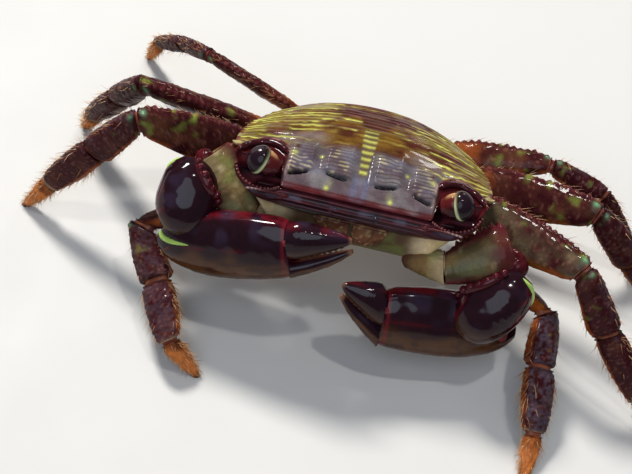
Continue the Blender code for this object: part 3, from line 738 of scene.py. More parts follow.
def fine_lines(x, y, pitch):
    """Share of the way from one of the finer lines of the lobes to the next."""
    return sawtooth((y + 0.22 * mottle(np.stack((x, y), -1), 1.6, 6)) / (pitch * FINE_PITCH))[1]


def rungs(y, pitch):
    """Share of the rungs across the groove."""
    return bump(sawtooth(y / (pitch * RUNG_PITCH))[1], 0.5, 0.24)


def reach_of(x, y):
    """Where the grey front field ends: a level line, set forward at the sides and waved by noise."""
    return -7.6 - 0.9 * ease(7.0, 12.0, np.abs(x)) + 0.6 * mottle(np.stack((x, y), -1), 3.0, 5)


def carapace_zones(x, y):
    """Shares of the front field with its lobes, of the smooth band behind it, and of the ladder groove."""
    front = fade(reach_of(x, y) - 0.9, reach_of(x, y) + 0.9, y) * fade(11.6, 12.6, np.abs(x))
    band = bump(y, -5.6, 1.6) * fade(6.5, 11.0, np.abs(x))
    half = 0.42 + 0.50 * ease(-11.0, -4.5, y)
    ladder = fade(half, half + 0.35, np.abs(x)) * ease(-11.9, -11.2, y) * fade(-3.2, -1.8, y)
    return front, band, ladder


def carapace_relief(x, y, shell):
    """Height of the raised lines, of finer ones on the lobes, and of the rungs in the groove."""
    front, band, ladder = carapace_zones(x, y)
    line, t = line_pattern(x, y, shell.line_pitch)
    lit = ease(-0.55, 0.1, line_noise(x, line, 5.0, 11))
    ridge = ease(0.0, 0.20, t) * fade(0.25, 0.95, t) * lit * (1 - front) * (1 - 0.8 * band)
    raised, rim = lobe_share(x, y)[0], np.maximum(*orbit_shares(x, y))
    u = fine_lines(x, y, shell.line_pitch)
    small = ease(0.0, 0.3, u) * fade(0.4, 1.0, u) * np.maximum(raised, 0.25) * front
    gutter = bump(x, 0.0, 0.9) * ease(-15.2, -13.4, y) * fade(-5.5, -2.5, y)
    lines = ridge * (1 - rim) + 0.75 * small + 0.5 * rungs(y, shell.line_pitch) * ladder
    return shell.line_height * lines - 0.12 * gutter


def path_share(wide, y, start, end, wave):
    """Share of a dark path between two places of the left half, with the same path on the right."""
    (x0, y0), (x1, y1) = start, end
    away = np.abs((wide - x0) * (y1 - y0) - (y - y0) * (x1 - x0)) / math.hypot(x1 - x0, y1 - y0)
    along = ((wide - x0) * (x1 - x0) + (y - y0) * (y1 - y0)) / ((x1 - x0) ** 2 + (y1 - y0) ** 2)
    return bump(away + wave, 0.0, 0.65) * ease(-0.1, 0.15, along) * fade(0.85, 1.1, along)


def lined_tint(x, y, shell, band):
    """Maroon-brown ground with long broken lines, each on its own and fewer of them in the middle, and
    with dark branching paths from the middle back to the sides. The share of the lines comes second."""
    flat, wide = np.stack((x, y), -1), np.abs(x)
    dark, olive = np.array(shell.shell_colour), np.array(shell.dull_line_colour)
    line, t = line_pattern(x, y, shell.line_pitch)
    bare = ease(-0.05, 0.40, mottle(flat, 4.2, 20)) * (1 - 0.7 * ease(6.0, 12.0, wide))
    t = np.clip(t + 0.16 * mottle(flat, 0.7, 18), 0, 1)
    thick = 0.48 + 0.22 * line_noise(x, line, 5.0, 19)
    stripe = ease(0.04, 0.18, t) * fade(thick - 0.10, thick + 0.14, t)
    more = 0.75 * ease(2.0, 9.0, wide) - 0.30 - 0.7 * bare
    lit = ease(-0.22, 0.22, line_noise(x, line, 3.6, 12) + more)
    clear = ease(-0.15, 0.45, line_noise(x, line, 2.3, 13) + 0.35 * more) * bump(t, 0.28, 0.15)
    lines = stripe * lit * (1 - 0.65 * band)
    between = bump(t, 0.86, 0.10) * ease(0.0, 0.4, line_noise(x, line, 3.0, 21)) * ease(4, 9, wide)
    wave = 0.25 * mottle(flat, 0.9, 10)
    tint = painted(
        np.broadcast_to(dark, (*x.shape, 3)),
        (SHELL.ochre, 0.62 + 0.8 * mottle(flat, 3.2, 7)),
        (SHELL.moss, 0.75 * ease(-0.2, 0.6, mottle(flat, 2.1, 9)) * ease(3.0, 9.0, wide)),
        (dark * 0.7, 0.85 * bare),
        (dark * 0.55, 0.6 * ease(0.66, 0.84, t) * fade(0.9, 1.0, t)),
        (olive, np.maximum(0.92 * lines, 0.6 * between)),
        (shell.line_colour, 0.95 * lines * clear),
        *((dark * 0.9, 0.75 * path_share(wide, y, *ends, wave)) for ends in DARK_PATHS))
    return tint, lines


def spot_share(wide, y, spot_x, spot_y, size):
    """Share of a round spot on each half: e to the minus square of the distance over the size."""
    return np.exp(-((wide - spot_x) ** 2 + (y - spot_y) ** 2) / size ** 2)


def field_tint(x, y, shell):
    """Grey of the front field, mostly a painted reflection of a pale sky on the dark shell, with bluish
    patches of the same painted reflection: fine dark and sandy lines on the lobes, painted shade between
    the lobes, black slits in front of the lobes as painted shadow under them, bright spots, and a dark one
    behind the inner end of each eye socket."""
    flat, wide = np.stack((x, y), -1), np.abs(x)
    raised, slit = lobe_share(x, y)
    u = fine_lines(x, y, shell.line_pitch)
    bright = np.array(shell.line_colour)
    return painted(
        np.broadcast_to(np.array(shell.lobe_reflection_colour), (*x.shape, 3)),
        (SHELL.smoke, 0.62 + 0.9 * mottle(flat, 1.7, 14)),
        (SHELL.soot, 0.85 * (bump(u, 0.75, 0.2) * raised)),
        (SHELL.sand, 0.75 * bump(u, 0.3, 0.18) * raised * ease(0.0, 0.5, mottle(flat, 0.9, 15))),
        # Bluish patches: more of the painted reflection of a pale sky.
        (SHELL.blue_grey, 0.6 * bump(wide, 0.9, 0.5) * fade(-12.0, -11.0, y)),
        (SHELL.pale_blue, 0.22 * ease(0.1, 0.8, mottle(flat, 2.4, 23))),
        # Painted shade between the raised lobes.
        (SHELL.umber, 0.55 * (1 - raised) * ease(-12.6, -11.6, y)),
        # Black slits in front of the lobes: painted shadow under their front ends.
        (SHELL.black, np.clip(1.7 * slit, 0, 1)),
        *((bright, share * spot_share(wide, y, *spot)) for *spot, share in FIELD_SPOTS),
        (SHELL.scar, 0.9 * spot_share(wide, y, 10.5, -9.1, 0.30 ** 0.5)))


def margin_tint(tint, x, y, shell):
    """Margins: red in front and round the eyes, with painted highlights on the rims over the eyes and along
    the front field's side borders, dark with pale marks along the sides.
    """
    flat, wide = np.stack((x, y), -1), np.abs(x)
    behind = y - front_edge(x)
    red = np.array(shell.margin_colour)
    rim, recess = orbit_shares(x, y)
    corner = bump(wide, FRONT_HALF_WIDTH - 0.1, 0.28) * ease(-14.6, -13.4, y) * fade(-10.6, -9.2, y)
    edge = ease(0.955, 0.985, wide / curve(HALF_WIDTHS, y)) * ease(-12.0, -10.5, y)
    marks = ease(0.0, 0.5, mottle(np.stack((y, 0 * y), -1), 1.6, 16))
    return painted(
        tint,
        (red * 0.30, 0.95 * bump(behind + 0.25 * mottle(flat, 2.2, 27), 0.0, 0.60)),
        (red * 0.32, 0.75 * bump(behind, 0.62, 0.16) * (wide < FRONT_HALF_WIDTH)),
        # Painted pinkish highlight along each side border of the front field.
        (SHELL.pink_grey, 0.45 * corner * ease(-0.3, 0.3, mottle(flat, 0.9, 24))),
        (red * 0.20, recess),
        (red * 0.34, np.clip(1.6 * rim, 0, 1)),
        # Painted pale highlights on the crest of the rim over each eye.
        (SHELL.pink_brown, 0.5 * bump(rim, 0.75, 0.2) * ease(0.1, 0.5, mottle(flat, 0.8, 22))),
        (red * 0.42, 0.85 * edge),
        (SHELL.pale_mark, 0.7 * edge * marks))


def carapace_tint(x, y, shell):
    """Colour: maroon-brown crossed by broken green lines, grey lobes and apron that are mostly a painted
    sky reflection, a painted grey sheen behind them at the sides, red margins.
    """
    wide = np.abs(x)
    front, band, ladder = carapace_zones(x, y)
    tint, lines = lined_tint(x, y, shell, band)
    smooth = 0.50 * band * (1 - front) * ease(-0.5, 0.3, mottle(np.stack((x, y), -1), 1.6, 26))
    # Grey band over the flanks just behind the front field: a painted sheen.
    sheen_veil = bump(y, reach_of(x, y) + 1.4, 1.3) * ease(5.0, 8.0, wide) * fade(13.0, 17.0, wide)
    bright, olive = np.array(shell.line_colour), np.array(shell.dull_line_colour)
    tint = painted(
        tint,
        (field_tint(x, y, shell), front),
        (SHELL.ochre, smooth),
        (SHELL.ash, 0.45 * sheen_veil * (1 - 0.6 * lines)),
        (SHELL.groove, 0.9 * ladder),
        (blend(bright, olive, np.array(0.25)), ladder * rungs(y, shell.line_pitch) * 0.9))
    return margin_tint(tint, x, y, shell)


def rim_indices(columns, rows):
    """Grid positions once round the rim, as rows and columns."""
    right, down = np.arange(columns), np.arange(rows)
    left, up = np.arange(columns, 0, -1), np.arange(rows, 0, -1)
    i = np.concatenate((right, np.full(rows, columns), left, np.zeros(rows, int)))
    j = np.concatenate((np.zeros(columns, int), down, np.full(columns, rows), up))
    return j, i


def carapace_plan():
    """x and y of the carapace's grid, and how far the outer tooth and the notch behind it push its side
    margin out. The step of the front margin dies away within the first third of the length."""
    along = np.linspace(0, 1, SHELL_ROWS + 1) ** 1.22
    across, along = np.meshgrid(np.linspace(-1, 1, SHELL_COLUMNS + 1), along)
    front = front_edge(across * HALF_WIDTHS[0][1])
    rear = REAR_Y + (REAR_CORNER_Y - REAR_Y) * across ** 2
    y = FRONT_Y + (rear - FRONT_Y) * along + (front - FRONT_Y) * (1 - along) ** 5
    x = across * curve(HALF_WIDTHS, CORNER_Y + (REAR_CORNER_Y - CORNER_Y) * along)
    tooth = 0.55 * bump(y, -12.3, 0.55) + 0.45 * bump(y, -9.6, 0.5) - 0.5 * bump(y, -10.55, 0.3)
    return x, y, np.sign(across) * ease(0.90, 1.0, np.abs(across)) * tooth


def closed_below(grid, tint, shell):
    """Skin of the carapace's grid with a wall from its rim down to a floor, in rings that close on the
    floor's middle."""
    j, i = rim_indices(SHELL_COLUMNS, SHELL_ROWS)
    rim, count, width = grid[j, i], len(j), SHELL_COLUMNS + 1
    inward = np.where((np.abs(rim[:, 0]) > FRONT_HALF_WIDTH) | (rim[:, 1] > 0), 0.93, 0.98)
    foot = np.stack((rim[:, 0] * inward, np.minimum(rim[:, 1] + 0.5, 15.0), 0 * inward + SHIELD_FLOOR), -1)
    middle = np.array((0.0, 0.0, SHIELD_FLOOR))
    walls = np.array([rim + (foot - rim) * share for share in (0.15, 0.4, 0.7)]
                     + [middle + (foot - middle) * share for share in (1.0, 0.6, 0.25)])
    level = np.arange(len(walls))[:, None]
    stripes = np.broadcast_to(0.5 * ease(-0.2, 0.4, np.sin(level * 2.4)) * (level < 3), walls.shape[:2])
    under = blend(plain(SHELL.wall, walls), np.array(shell.margin_colour), stripes)
    points = np.concatenate((grid.reshape(-1, 3), walls.reshape(-1, 3), middle[None]))
    tints = np.concatenate((tint.reshape(-1, 3), under.reshape(-1, 3), SHELL.floor[None]))
    first = (np.arange(SHELL_ROWS)[:, None] * width + np.arange(SHELL_COLUMNS)).reshape(-1)
    faces = np.stack((first, first + 1, first + width + 1, first + width), -1).tolist()
    rings = [j * width + i, *(grid.size // 3 + np.arange(len(walls) * count).reshape(-1, count))]
    for upper, lower in zip(rings, rings[1:]):
        faces += np.stack((np.roll(upper, -1), upper, lower, np.roll(lower, -1)), -1).tolist()
    last = rings[-1]
    faces += np.stack((np.roll(last, -1), last, np.full(count, len(points) - 1)), -1).tolist()
    return points, faces, tints


def carapace_skin(shell):
    """The plan's grid lifted to its height and relief, with a bead along its margin, and closed below."""
    x, y, tooth = carapace_plan()
    grid = np.stack((x + tooth, y, carapace_height(x, y)), -1)
    share = np.abs(x) / curve(HALF_WIDTHS, y)
    bead = bump(share, 0.985, 0.014) * ease(-12.2, -11.4, y) + 0.45 * bump(y - front_edge(x), 0.15, 0.22)
    grains = 0.75 + 0.25 * mottle(np.stack((y, x), -1), 0.55, 17)
    grid = push(grid, carapace_relief(x, y, shell) + 0.22 * bead * grains, around=False)
    points, faces, tints = closed_below(grid, carapace_tint(x, y, shell), shell)
    return out_of(BODY, points), faces, tints


# Underside


def underside_skin():
    """Closed skin over the underside's levels: each ring follows the carapace's plan at a share of its
    width. Below the last level rings close on the middle, with shallow grooves between the segments."""
    columns, rows, last = 70, 56, len(TRUNK_LEVELS) - 1
    j, i = rim_indices(columns, rows)
    across, along = 2 * i / columns - 1, j / rows
    number = np.linspace(0, last, 22)[:, None]
    level, width, front, rear = (np.interp(number, range(last + 1), values)
                                 for values in zip(*TRUNK_LEVELS))
    y = front + (rear - front) * along
    half = width * curve(HALF_WIDTHS, CORNER_Y + (REAR_CORNER_Y - CORNER_Y) * along)
    grid = np.stack((across * half, y, level - STERNUM_SLOPE * number / last * (rear - y)), -1)
    top, bottom = grid[0].mean(0), grid[-1].mean(0)
    inner = [bottom + (grid[-1] - bottom) * share for share in UNDERSIDE_RINGS]
    grid = np.concatenate(([top + (grid[0] - top) * 0.5], grid, inner))
    below = np.zeros(grid.shape[:2])
    below[-1 - len(UNDERSIDE_RINGS):] = 1.0
    bowed = grid[..., 1] - 0.25 * np.abs(grid[..., 0])
    groove = sum(bump(bowed, at, 0.35) for at in STERNUM_GROOVES)
    grid[..., 2] += 0.22 * groove * below
    x, y, z = np.moveaxis(grid, -1, 0)
    green = 0.5 * (z < -9.0) * bump(y, -12.4, 1.5) * ease(0.0, 0.5, mottle(grid, 2.0, 23))
    tint = coated(
        grid, UNDER.tan,
        (UNDER.cream, 0.5 + mottle(grid, 2.6, 21)),
        (UNDER.red_brown, 0.7 * ease(-11.5, -8.5, z) + 0.25 * mottle(grid, 1.4, 22)),
        # Darker front middle below the face: painted shade under the face and between the claws.
        (UNDER.mouth, 0.92 * (fade(-12.4, -9.5, y) * fade(8.0, 12.5, np.abs(x)))),
        (UNDER.top, ease(-9.4, -8.4, z)),
        (UNDER.green, green),
        (UNDER.groove, 0.6 * groove * below))
    # The rings run down, so they are taken in the other order to face outward.
    return body_skin(grid[:, ::-1], tint[:, ::-1])


def flap_skin():
    """The tail flap: flat rounded sections carried along its folded line, pinched at each segment."""
    stations = [(share, y, z, half) for share, ((y, z), half) in zip(np.linspace(0, 1, len(FLAP)), FLAP)]
    t = np.linspace(0, 1, 90)
    y, z, half = curve(stations, t).T
    line = np.stack((0 * y, y, z), -1)
    across = np.array((1.0, 0.0, 0.0))
    outward = np.cross(unit(np.gradient(line, axis=0)), across)
    angle = ring_angles(56)
    pinch = sum(bump(t, at, 0.012) for at in FLAP_FOLDS)
    close = round_ends(t, 0.012, 0.02)[:, None]
    wide = squared(np.cos(angle), 3) * (half - 0.18 * pinch)[:, None] * close
    deep = squared(np.sin(angle), 3) * (FLAP_HALF_THICKNESS - 0.16 * pinch)[:, None] * close
    grid = line[:, None] + wide[..., None] * across + deep[..., None] * outward[:, None]
    upper = fade(0.20, 0.34, t)[:, None] * ease(-0.2, 0.6, np.sin(angle))[None, :]
    tint = coated(
        grid, UNDER.tan,
        (UNDER.cream, 0.5 + mottle(grid, 2.0, 24)),
        (UNDER.groove, 0.7 * np.broadcast_to(pinch[:, None], grid.shape[:2])),
        (blend(UNDER.flap_brown, UNDER.flap_red, 0.5 + mottle(grid, 1.5, 25)), 0.9 * upper))
    return body_skin(grid, tint)


# Head


def row_point(point):
    """Point of the body frame in the row frame."""
    return out_of(BODY, np.asarray(point, float))


def row_way(vector):
    """Direction of the body frame in the row frame."""
    return BODY[1] @ np.array(vector, float)


def eye_skins(side):
    """Eyestalk and cornea of one side as two segments that share a mitre plane, ringed pale at the seam."""
    root, joint = row_point(mirrored(EYE_ROOT, side)), row_point(mirrored(EYE_JOINT, side))
    axis, up = row_way(mirrored(EYE_AXIS, side)), row_way((0, 0, 1))
    bend = unit(joint - root) + unit(axis)
    stalk = segment(place_of(root, joint - root, up), EYESTALK_PROFILE, (root, joint - root),
                    before(joint, bend, EYE_GAP), 40, 48, 2.0, (ROUND, ROUND))
    back, share = stalk["back"], stalk["share"]
    # The darker lower side of the stalk is painted shade; the pale patch on its top is partly its cream
    # colour and partly a painted highlight.
    tint = coated(
        stalk["grid"], HEAD.stalk,
        (HEAD.stalk_shade, 0.5 - 0.7 * back + 0.5 * mottle(stalk["grid"], 1.0, 31)),
        (HEAD.stalk_pale, 0.75 * ease(0.80, 0.99, back) * ease(0.25, 0.6, share)))
    profile = [(at, *(CORNEA_SWELL * size for size in sizes)) for at, *sizes in CORNEA_PROFILE]
    ball = segment(place_of(joint, axis, up), profile, after(joint, bend, EYE_GAP),
                   (joint + unit(axis) * EYE_LENGTH, axis), 48, 56, 2.0, (ROUND, EYE_DOME))
    share, inward = ball["share"], (ball["grid"] - joint) @ unit(mirrored((-0.8, -0.2, -0.75), side))
    ring = bump(share, 0.14, 0.13) * ease(-1.2, 0.3, inward)
    black = coated(
        ball["grid"], HEAD.eye,
        (HEAD.eye_brown, 0.7 * fade(0.15, 0.6, share)),
        # Painted soft grey highlight on one side of the cornea.
        (HEAD.eye_grey, 0.45 * bump(ball["face"], 0.2, 0.3) * ease(0.3, 0.8, share)),
        (HEAD.eye_band, bump(share, 0.40, 0.08)),
        (HEAD.eye_ring, np.clip(1.4 * ring, 0, 1)))
    return tube(stalk["grid"], tint), tube(push(ball["grid"], 0.03 * ring), black)


def orbit_rims(side):
    """Raised upper rim along the stepped margin and a beaded lower rim, with small pale beads on both as
    painted glints; on the lower rim they are also its granules.
    """
    x = np.linspace(11.6, 18.9, 60)
    y = curve(ORBIT_ARCH, x) - 0.35
    upper = row_point(mirrored(np.stack((x, y, carapace_height(x, y) - 0.05), -1), side))
    lower = row_point(mirrored(curve(LOWER_RIM, np.linspace(0, 1, 50)), side))
    skins = []
    for path, size, colour in ((upper, 0.62, HEAD.upper_rim), (lower, 0.36, HEAD.lower_rim)):
        radius = size * round_ends(np.linspace(0, 1, len(path)), 0.08)
        skins.append(plain_tube(pipe(path, radius, 12), colour))
    outward = row_way((0.0, -0.45, 0.9))
    # Pale beads: painted glints, four on the upper rim, and on the lower rim its granules painted as
    # glints.
    for path, count, size, rise in ((upper, 4, 0.12, 0.5), (lower, 17, 0.20, 0.30)):
        centres = through(path, np.linspace(1, len(path) - 2, count)) + outward * rise
        sizes = size * (0.85 + 0.3 * hashed(np.arange(count)[:, None], 2))
        skins.append(beads(centres, sizes, HEAD.bead))
    return joined(*skins)


def cheek_skin():
    """Closed plate below the front margin and the eyes: each section runs down the ridged face, back up
    below, and forward again as the floor of the eye socket. Sections are carried from side to side."""
    t = np.linspace(-1, 1, 241)
    rim, foot, back = (curve(table, np.abs(t))[:, None] for table in (CHEEK_RIM, CHEEK_FOOT, CHEEK_BACK))
    s, u = np.linspace(0, 1, 30)[None, :, None], np.linspace(0, 1, 11)[None, 1:, None]
    ridge = bump(s, 0.10, 0.05) + bump(s, 0.34, 0.05) + 0.8 * bump(s, 0.57, 0.05)
    bulge = np.array((0.0, -0.9, -0.25)) * np.sin(np.pi * s) + np.array((0.0, -0.25, 0.0)) * ridge
    sag = np.array((0.0, 0.0, -0.35)) * np.sin(np.pi * u[:, :-1])
    front, floor = rim * (1 - s) + foot * s + bulge, (back * (1 - u) + rim * u)[:, :-1] + sag
    grid = np.concatenate((front, foot * (1 - u) + back * u, floor), axis=1)
    grid[..., 0] *= np.sign(t)[:, None]
    s, hidden = s[0, :, 0], np.zeros(16)

    def strip(share, below=0.0):
        """A share given down the ridged face, and one for the first three rows below it."""
        return np.broadcast_to(np.concatenate((share, np.full(3, below), hidden)), grid.shape[:2])

    tint = coated(
        grid, HEAD.cheek,
        (HEAD.ridge, 0.80 * strip(ridge[0, :, 0]) * ease(-0.9, 0.2, mottle(grid, 1.6, 33))),
        (HEAD.cheek_grey, 0.55 * ease(-0.2, 0.5, mottle(grid, 1.8, 34)) * strip(bump(s, 0.22, 0.09))),
        (HEAD.cheek_low, 0.75 * strip(ease(0.6, 1.0, s), 1.0) * ease(0.35, 0.7, np.abs(t))[:, None]))
    return body_skin(grid, tint)


def face_skin():
    """Front of the mouth frame: level red ridges below the front margin, the folded antennules, and the
    rolls beside them."""
    t, s, skins = np.linspace(-1, 1, 121), np.linspace(0, 1, 30), []
    for level, depth, reach, size, colour in MOUTH_RIDGES:
        path = np.stack((t * reach, depth + 1.3 * t ** 4, level + 0.35 * t ** 2), -1)
        skins.append(plain_tube(pipe(row_point(path), size * round_ends((t + 1) / 2, 0.025), 12), colour))
    rings = (0.85 + 0.25 * np.sin(s * 60))[:, None, None]
    for side in SIDES:
        for stations, size, colour in FACE_ROLLS:
            grid = pipe(row_point(mirrored(curve(stations, s), side)), size * spindle(s), 14)
            skins.append(tube(grid, colour * np.broadcast_to(rings, grid.shape)))
    return joined(*skins)


def antenna_skin(side):
    """Tapered whip on a stout ringed base, bent a little to the side and up."""
    t = np.linspace(0, 1, 80)
    root, tip = np.array(ANTENNA_ROOT), np.array(ANTENNA_TIP)
    bow = np.array((0.0, -0.35, 0.5)) * (t * t * (1 - t) * 3)[:, None]
    path = root + (tip - root) * t[:, None] + bow
    rings = 1 + 0.07 * np.sin(t * 150) * ease(0.28, 0.36, t)
    width = curve(ANTENNA_PROFILE, t)[:, 0] * (0.9 - 0.35 * ease(0.2, 0.4, t))
    grid = pipe(row_point(mirrored(path, side)), width * rings * round_ends(t, 0.02, 0.05), 16)
    ringed = (0.6 * ease(0.5, 0.9, t) * (0.6 + 0.4 * np.sin(t * 75)))[:, None]
    ringed = np.broadcast_to(ringed, grid.shape[:2])
    return tube(grid, blend(plain(HEAD.whip, grid), HEAD.whip_ring, ringed))


def mouthpart_skin(side):
    """Outer mouthpart: a flat rounded plate, grooved between its joints and down its length."""
    top, bottom = row_point(JAW_TOP), row_point(JAW_BOTTOM)
    way = bottom - top
    plate = segment(place_of(top, way, row_way(mirrored((1, 0, 0), side))), JAW_PROFILE, (top, way),
                    (bottom, way), 70, 64, 2.6, (ROUND, ROUND))
    groove = bump(plate["share"], 0.42, 0.02) + 0.6 * bump(plate["back"], 0.15, 0.06)
    granules = ease(0.2, 0.7, mottle(plate["grid"], 0.45, 41))
    grid = push(plate["grid"], 0.05 * granules - 0.14 * groove)
    tint = coated(
        grid, HEAD.jaw,
        (HEAD.jaw_shade, 0.5 + 0.6 * mottle(grid, 1.6, 42)),
        (UNDER.tan, 0.3 * granules),
        (HEAD.horn, 0.7 * groove))
    return tube(grid, tint)


# Walking legs


def heading(side, bearing, rise):
    """Direction of a bearing and a rise in degrees, turned over for the right side."""
    a, e = math.radians(bearing), math.radians(rise)
    return mirrored((math.cos(a) * math.cos(e), math.sin(a) * math.cos(e), math.sin(e)), side)


def leg_chain(side, number):
    """Joints, headings and dorsal directions of one leg, with its dactyl as steep as meets the floor."""
    reach, bearing, rise, out, carpus_rise, propodus_rise, turn, lean, low_lean = STANCE[side, number]
    carpus, propodus, dactyl = LEG_LENGTHS[number - 1]
    joints = [row_point(mirrored(LEG_BASES[number - 1], side))]
    ways = [heading(side, bearing, rise), heading(side, out, carpus_rise),
            heading(side, out, propodus_rise)]
    for way, length in zip(ways, (reach, carpus, propodus)):
        joints.append(joints[-1] + way * length)
    steep = math.degrees(math.asin(min(joints[-1][2] / dactyl, 0.98)))
    ways.append(heading(side, turn, -steep))
    joints.append(joints[-1] + ways[-1] * (joints[-1][2] / -ways[-1][2]))
    dorsals = (-unit(ways[1] - (ways[1] @ ways[0]) * ways[0]), ways[0], ways[0], ways[0])
    turned = []
    for way, dorsal, degrees in zip(ways, dorsals, (lean, low_lean, low_lean, low_lean)):
        dorsal, angle = unit(dorsal - (dorsal @ way) * way), math.radians(degrees)
        back = np.cross(dorsal, way) * (1 if side == "left" else -1)
        turned.append(dorsal * math.cos(angle) + back * math.sin(angle))
    return joints, ways, turned


def leg_segments(side, number, rows=66, sides=48):
    """The four segments of one leg, each mitred halfway between its heading and the next."""
    joints, ways, dorsals = leg_chain(side, number)
    planes = [(joints[0], ways[0])] + [(joints[i], ways[i - 1] + ways[i]) for i in range(1, 4)]
    found = {}
    for i, part in enumerate(LEG_SEGMENTS):
        size = LEG_WIDTHS[number - 1][min(i, 1)]
        profile = [(at, *(measure * size for measure in sizes)) for at, *sizes in LEG_PROFILES[part]]
        start = after(*planes[i]) if i else planes[i]
        end = (joints[4], np.array((0.0, 0.0, -1.0))) if i == 3 else before(*planes[i + 1])
        caps = (LIP, ROUND if i == 3 else LIP)
        seg = segment(place_of(joints[i], ways[i], dorsals[i]), profile, start, end, rows, sides, 2.4, caps)
        seg["front"] = seg["face"] * (-1 if side == "left" else 1)
        found[part] = seg
    return found


def short_ridges(seg, pitch, seed):
    """Short raised lines across a segment: a saw of the distance along it, waved and broken round it."""
    c, s, x = np.cos(seg["angle"]), np.sin(seg["angle"]), seg["x"]
    line, t = sawtooth(x / pitch + 0.5 * mottle(np.stack((c * 2.6, s * 2.6, x * 0.9), -1), 1.3, seed))
    broken = ease(-0.1, 0.35, mottle(np.stack((c * 2.2, s * 2.2, line), -1), 1.0, seed + 1))
    return ease(0.0, 0.2, t) * fade(0.3, 1.0, t) * broken


def margin_teeth(seg, pitch, seed, width=0.10):
    """Row of blunt teeth along the dorsal edge: half waves of the distance along the segment."""
    number, t = sawtooth(seg["x"] / pitch)
    tall = 0.6 + 0.6 * hashed(number[..., None], seed)
    return tall * np.sin(np.pi * t) ** 1.5 * bump(seg["angle"], np.pi / 2, width * 2.2)


def leg_surface(seg, seed):
    """What every part of a leg's finish reads: its skin, its shares, its noises and its narrowed ends."""
    grid, share, back = seg["grid"], seg["share"], seg["back"]
    return SimpleNamespace(
        seg=seg, seed=seed, grid=grid, share=share, back=back,
        face=fade(0.55, 0.95, np.abs(back)), upper=ease(0.55, 0.92, back), lower=ease(0.45, 0.9, -back),
        granules=ease(0.15, 0.6, mottle(grid, 0.55, seed)),
        blotch=mottle(grid, 2.4, seed + 1), fleck=mottle(grid, 0.9, seed + 2),
        ends=ease(0.0, 0.05, share) * fade(0.95, 1.0, share),
        waist=0.34 * fade(0.0, 0.09, share) + 0.24 * ease(0.94, 1.0, share),
        knee=bump(seg["front"], 0.55, 0.24) * (back > 0))


def merus_finish(it, side, number, group):
    """Lift and tint of a merus: ridged faces, a toothed back, and an orange-brown base and lower edge that
    are partly the leg's colour and partly a painted glow of light shining through.
    """
    grid, share, blotch, fleck, face, seed = it.grid, it.share, it.blotch, it.fleck, it.face, it.seed
    dark, base = np.array(group.back_colour), np.array(group.base_and_glow_colour)
    teeth = margin_teeth(it.seg, LEG_TEETH_PITCH, seed)
    ridges = group.ridge_height * short_ridges(it.seg, 0.95, seed) * face
    rough = 0.09 * mottle(grid, 0.8, seed + 6) * ease(0.2, 0.6, it.back) * it.ends
    lift = ridges + 0.45 * teeth * it.ends + 0.06 * it.granules - it.waist * (share > 0.5) + rough
    olive = number == 2 and side == "left"
    brown = LEG.olive if olive else np.array(group.face_colour)
    more = (0.40 - 0.7 * ease(0.5, 0.95, share)) * olive
    amber_and_glow = fade(0.02, AMBER_REACH[number], share + 0.12 * blotch) * (1 - 0.8 * it.upper)
    green = ease(0.42, 0.75, mottle(grid, 1.5, seed + 3)) * ease(0.35, 0.6, share) * face
    tint = coated(
        grid, dark,
        (brown, face * (0.35 + 0.9 * blotch + 0.35 * fleck + more)),
        # Orange-brown base and lower edge: partly the leg's colour, partly a painted glow of light shining
        # through.
        (base, np.maximum(0.9 * amber_and_glow, 0.85 * it.lower * ease(-0.7, 0.2, blotch))),
        (dark, 0.8 * bump(share, 0.45, 0.14) * face * ease(-0.2, 0.4, fleck + blotch)),
        (LEG.green, 0.55 * green),
        (LEG.green, 0.75 * it.upper * ease(0.45, 0.75, mottle(grid, 1.6, seed + 5))),
        (group.knee_colour, 0.9 * bump(share, 0.955, 0.022) * it.knee),
        (LEG.tooth, 0.55 * teeth))
    return lift, tint


def outer_finish(it, part, number, group):
    """Lift and tint of a carpus or propodus: dark, with ridges and an orange-brown lower edge that is
    partly the leg's colour and partly a painted glow of light shining through.
    """
    grid, share, back, fleck, seed = it.grid, it.share, it.back, it.fleck, it.seed
    carpus = part == "carpus"
    weight, pitch, granules = (0.8, 0.85, 0.08) if carpus else (0.7, 0.8, 0.09)
    ridges = group.ridge_height * weight * short_ridges(it.seg, pitch, seed)
    lift = ridges + granules * it.granules - it.waist
    edge = 0.97 if number == 1 else 0.66
    low = ease(edge - (0.12 if carpus else 0.14), min(edge + 0.15, 1.0), -back + 0.1 * fleck)
    tint = coated(
        grid, group.back_colour,
        (group.face_colour, it.face * (0.6 * it.blotch)),
        # Painted grey-blue sheen on the upper side.
        (LEG.slate, 0.15 * it.upper * ease(-0.2, 0.5, fleck)),
        # Orange-brown lower edge: partly the leg's colour, partly a painted glow of light shining through.
        (group.base_and_glow_colour, (0.5 if number == 1 else 0.8) * low))
    if not carpus:
        return lift, blend(tint, UNDER.cream, 0.35 * bump(share, 0.99, 0.03))
    groove = bump(it.seg["face"], 0.0, 0.12) * (back > 0) * it.face
    lift = lift + 0.12 * bump(back, 1.0, 0.12) * it.ends - 0.12 * groove
    green = ease(0.5, 0.8, mottle(grid, 1.2, seed + 3)) * it.face
    return lift, painted(
        tint,
        (group.knee_colour, 0.6 * bump(share, 0.10, 0.04) * it.knee),
        (LEG.green, 0.3 * green))


def point_finish(it, group):
    """Lift and tint of a dactyl: grooved along, orange, with a horny tip."""
    grooves = mottle(np.stack((it.seg["x"] * 0.5, it.seg["angle"] * 2.2), -1), 0.5, it.seed)
    lift = 0.10 * ease(0.1, 0.5, grooves) + 0.03 * it.granules - it.waist * (it.share < 0.5)
    tint = coated(
        it.grid, group.back_colour,
        (group.tip_colour, 0.35 + 0.75 * ease(0.0, 0.4, it.share) + 0.4 * it.fleck),
        (HEAD.horn, ease(0.82, 1.0, it.share)))
    return lift * fade(0.88, 0.95, it.share), tint


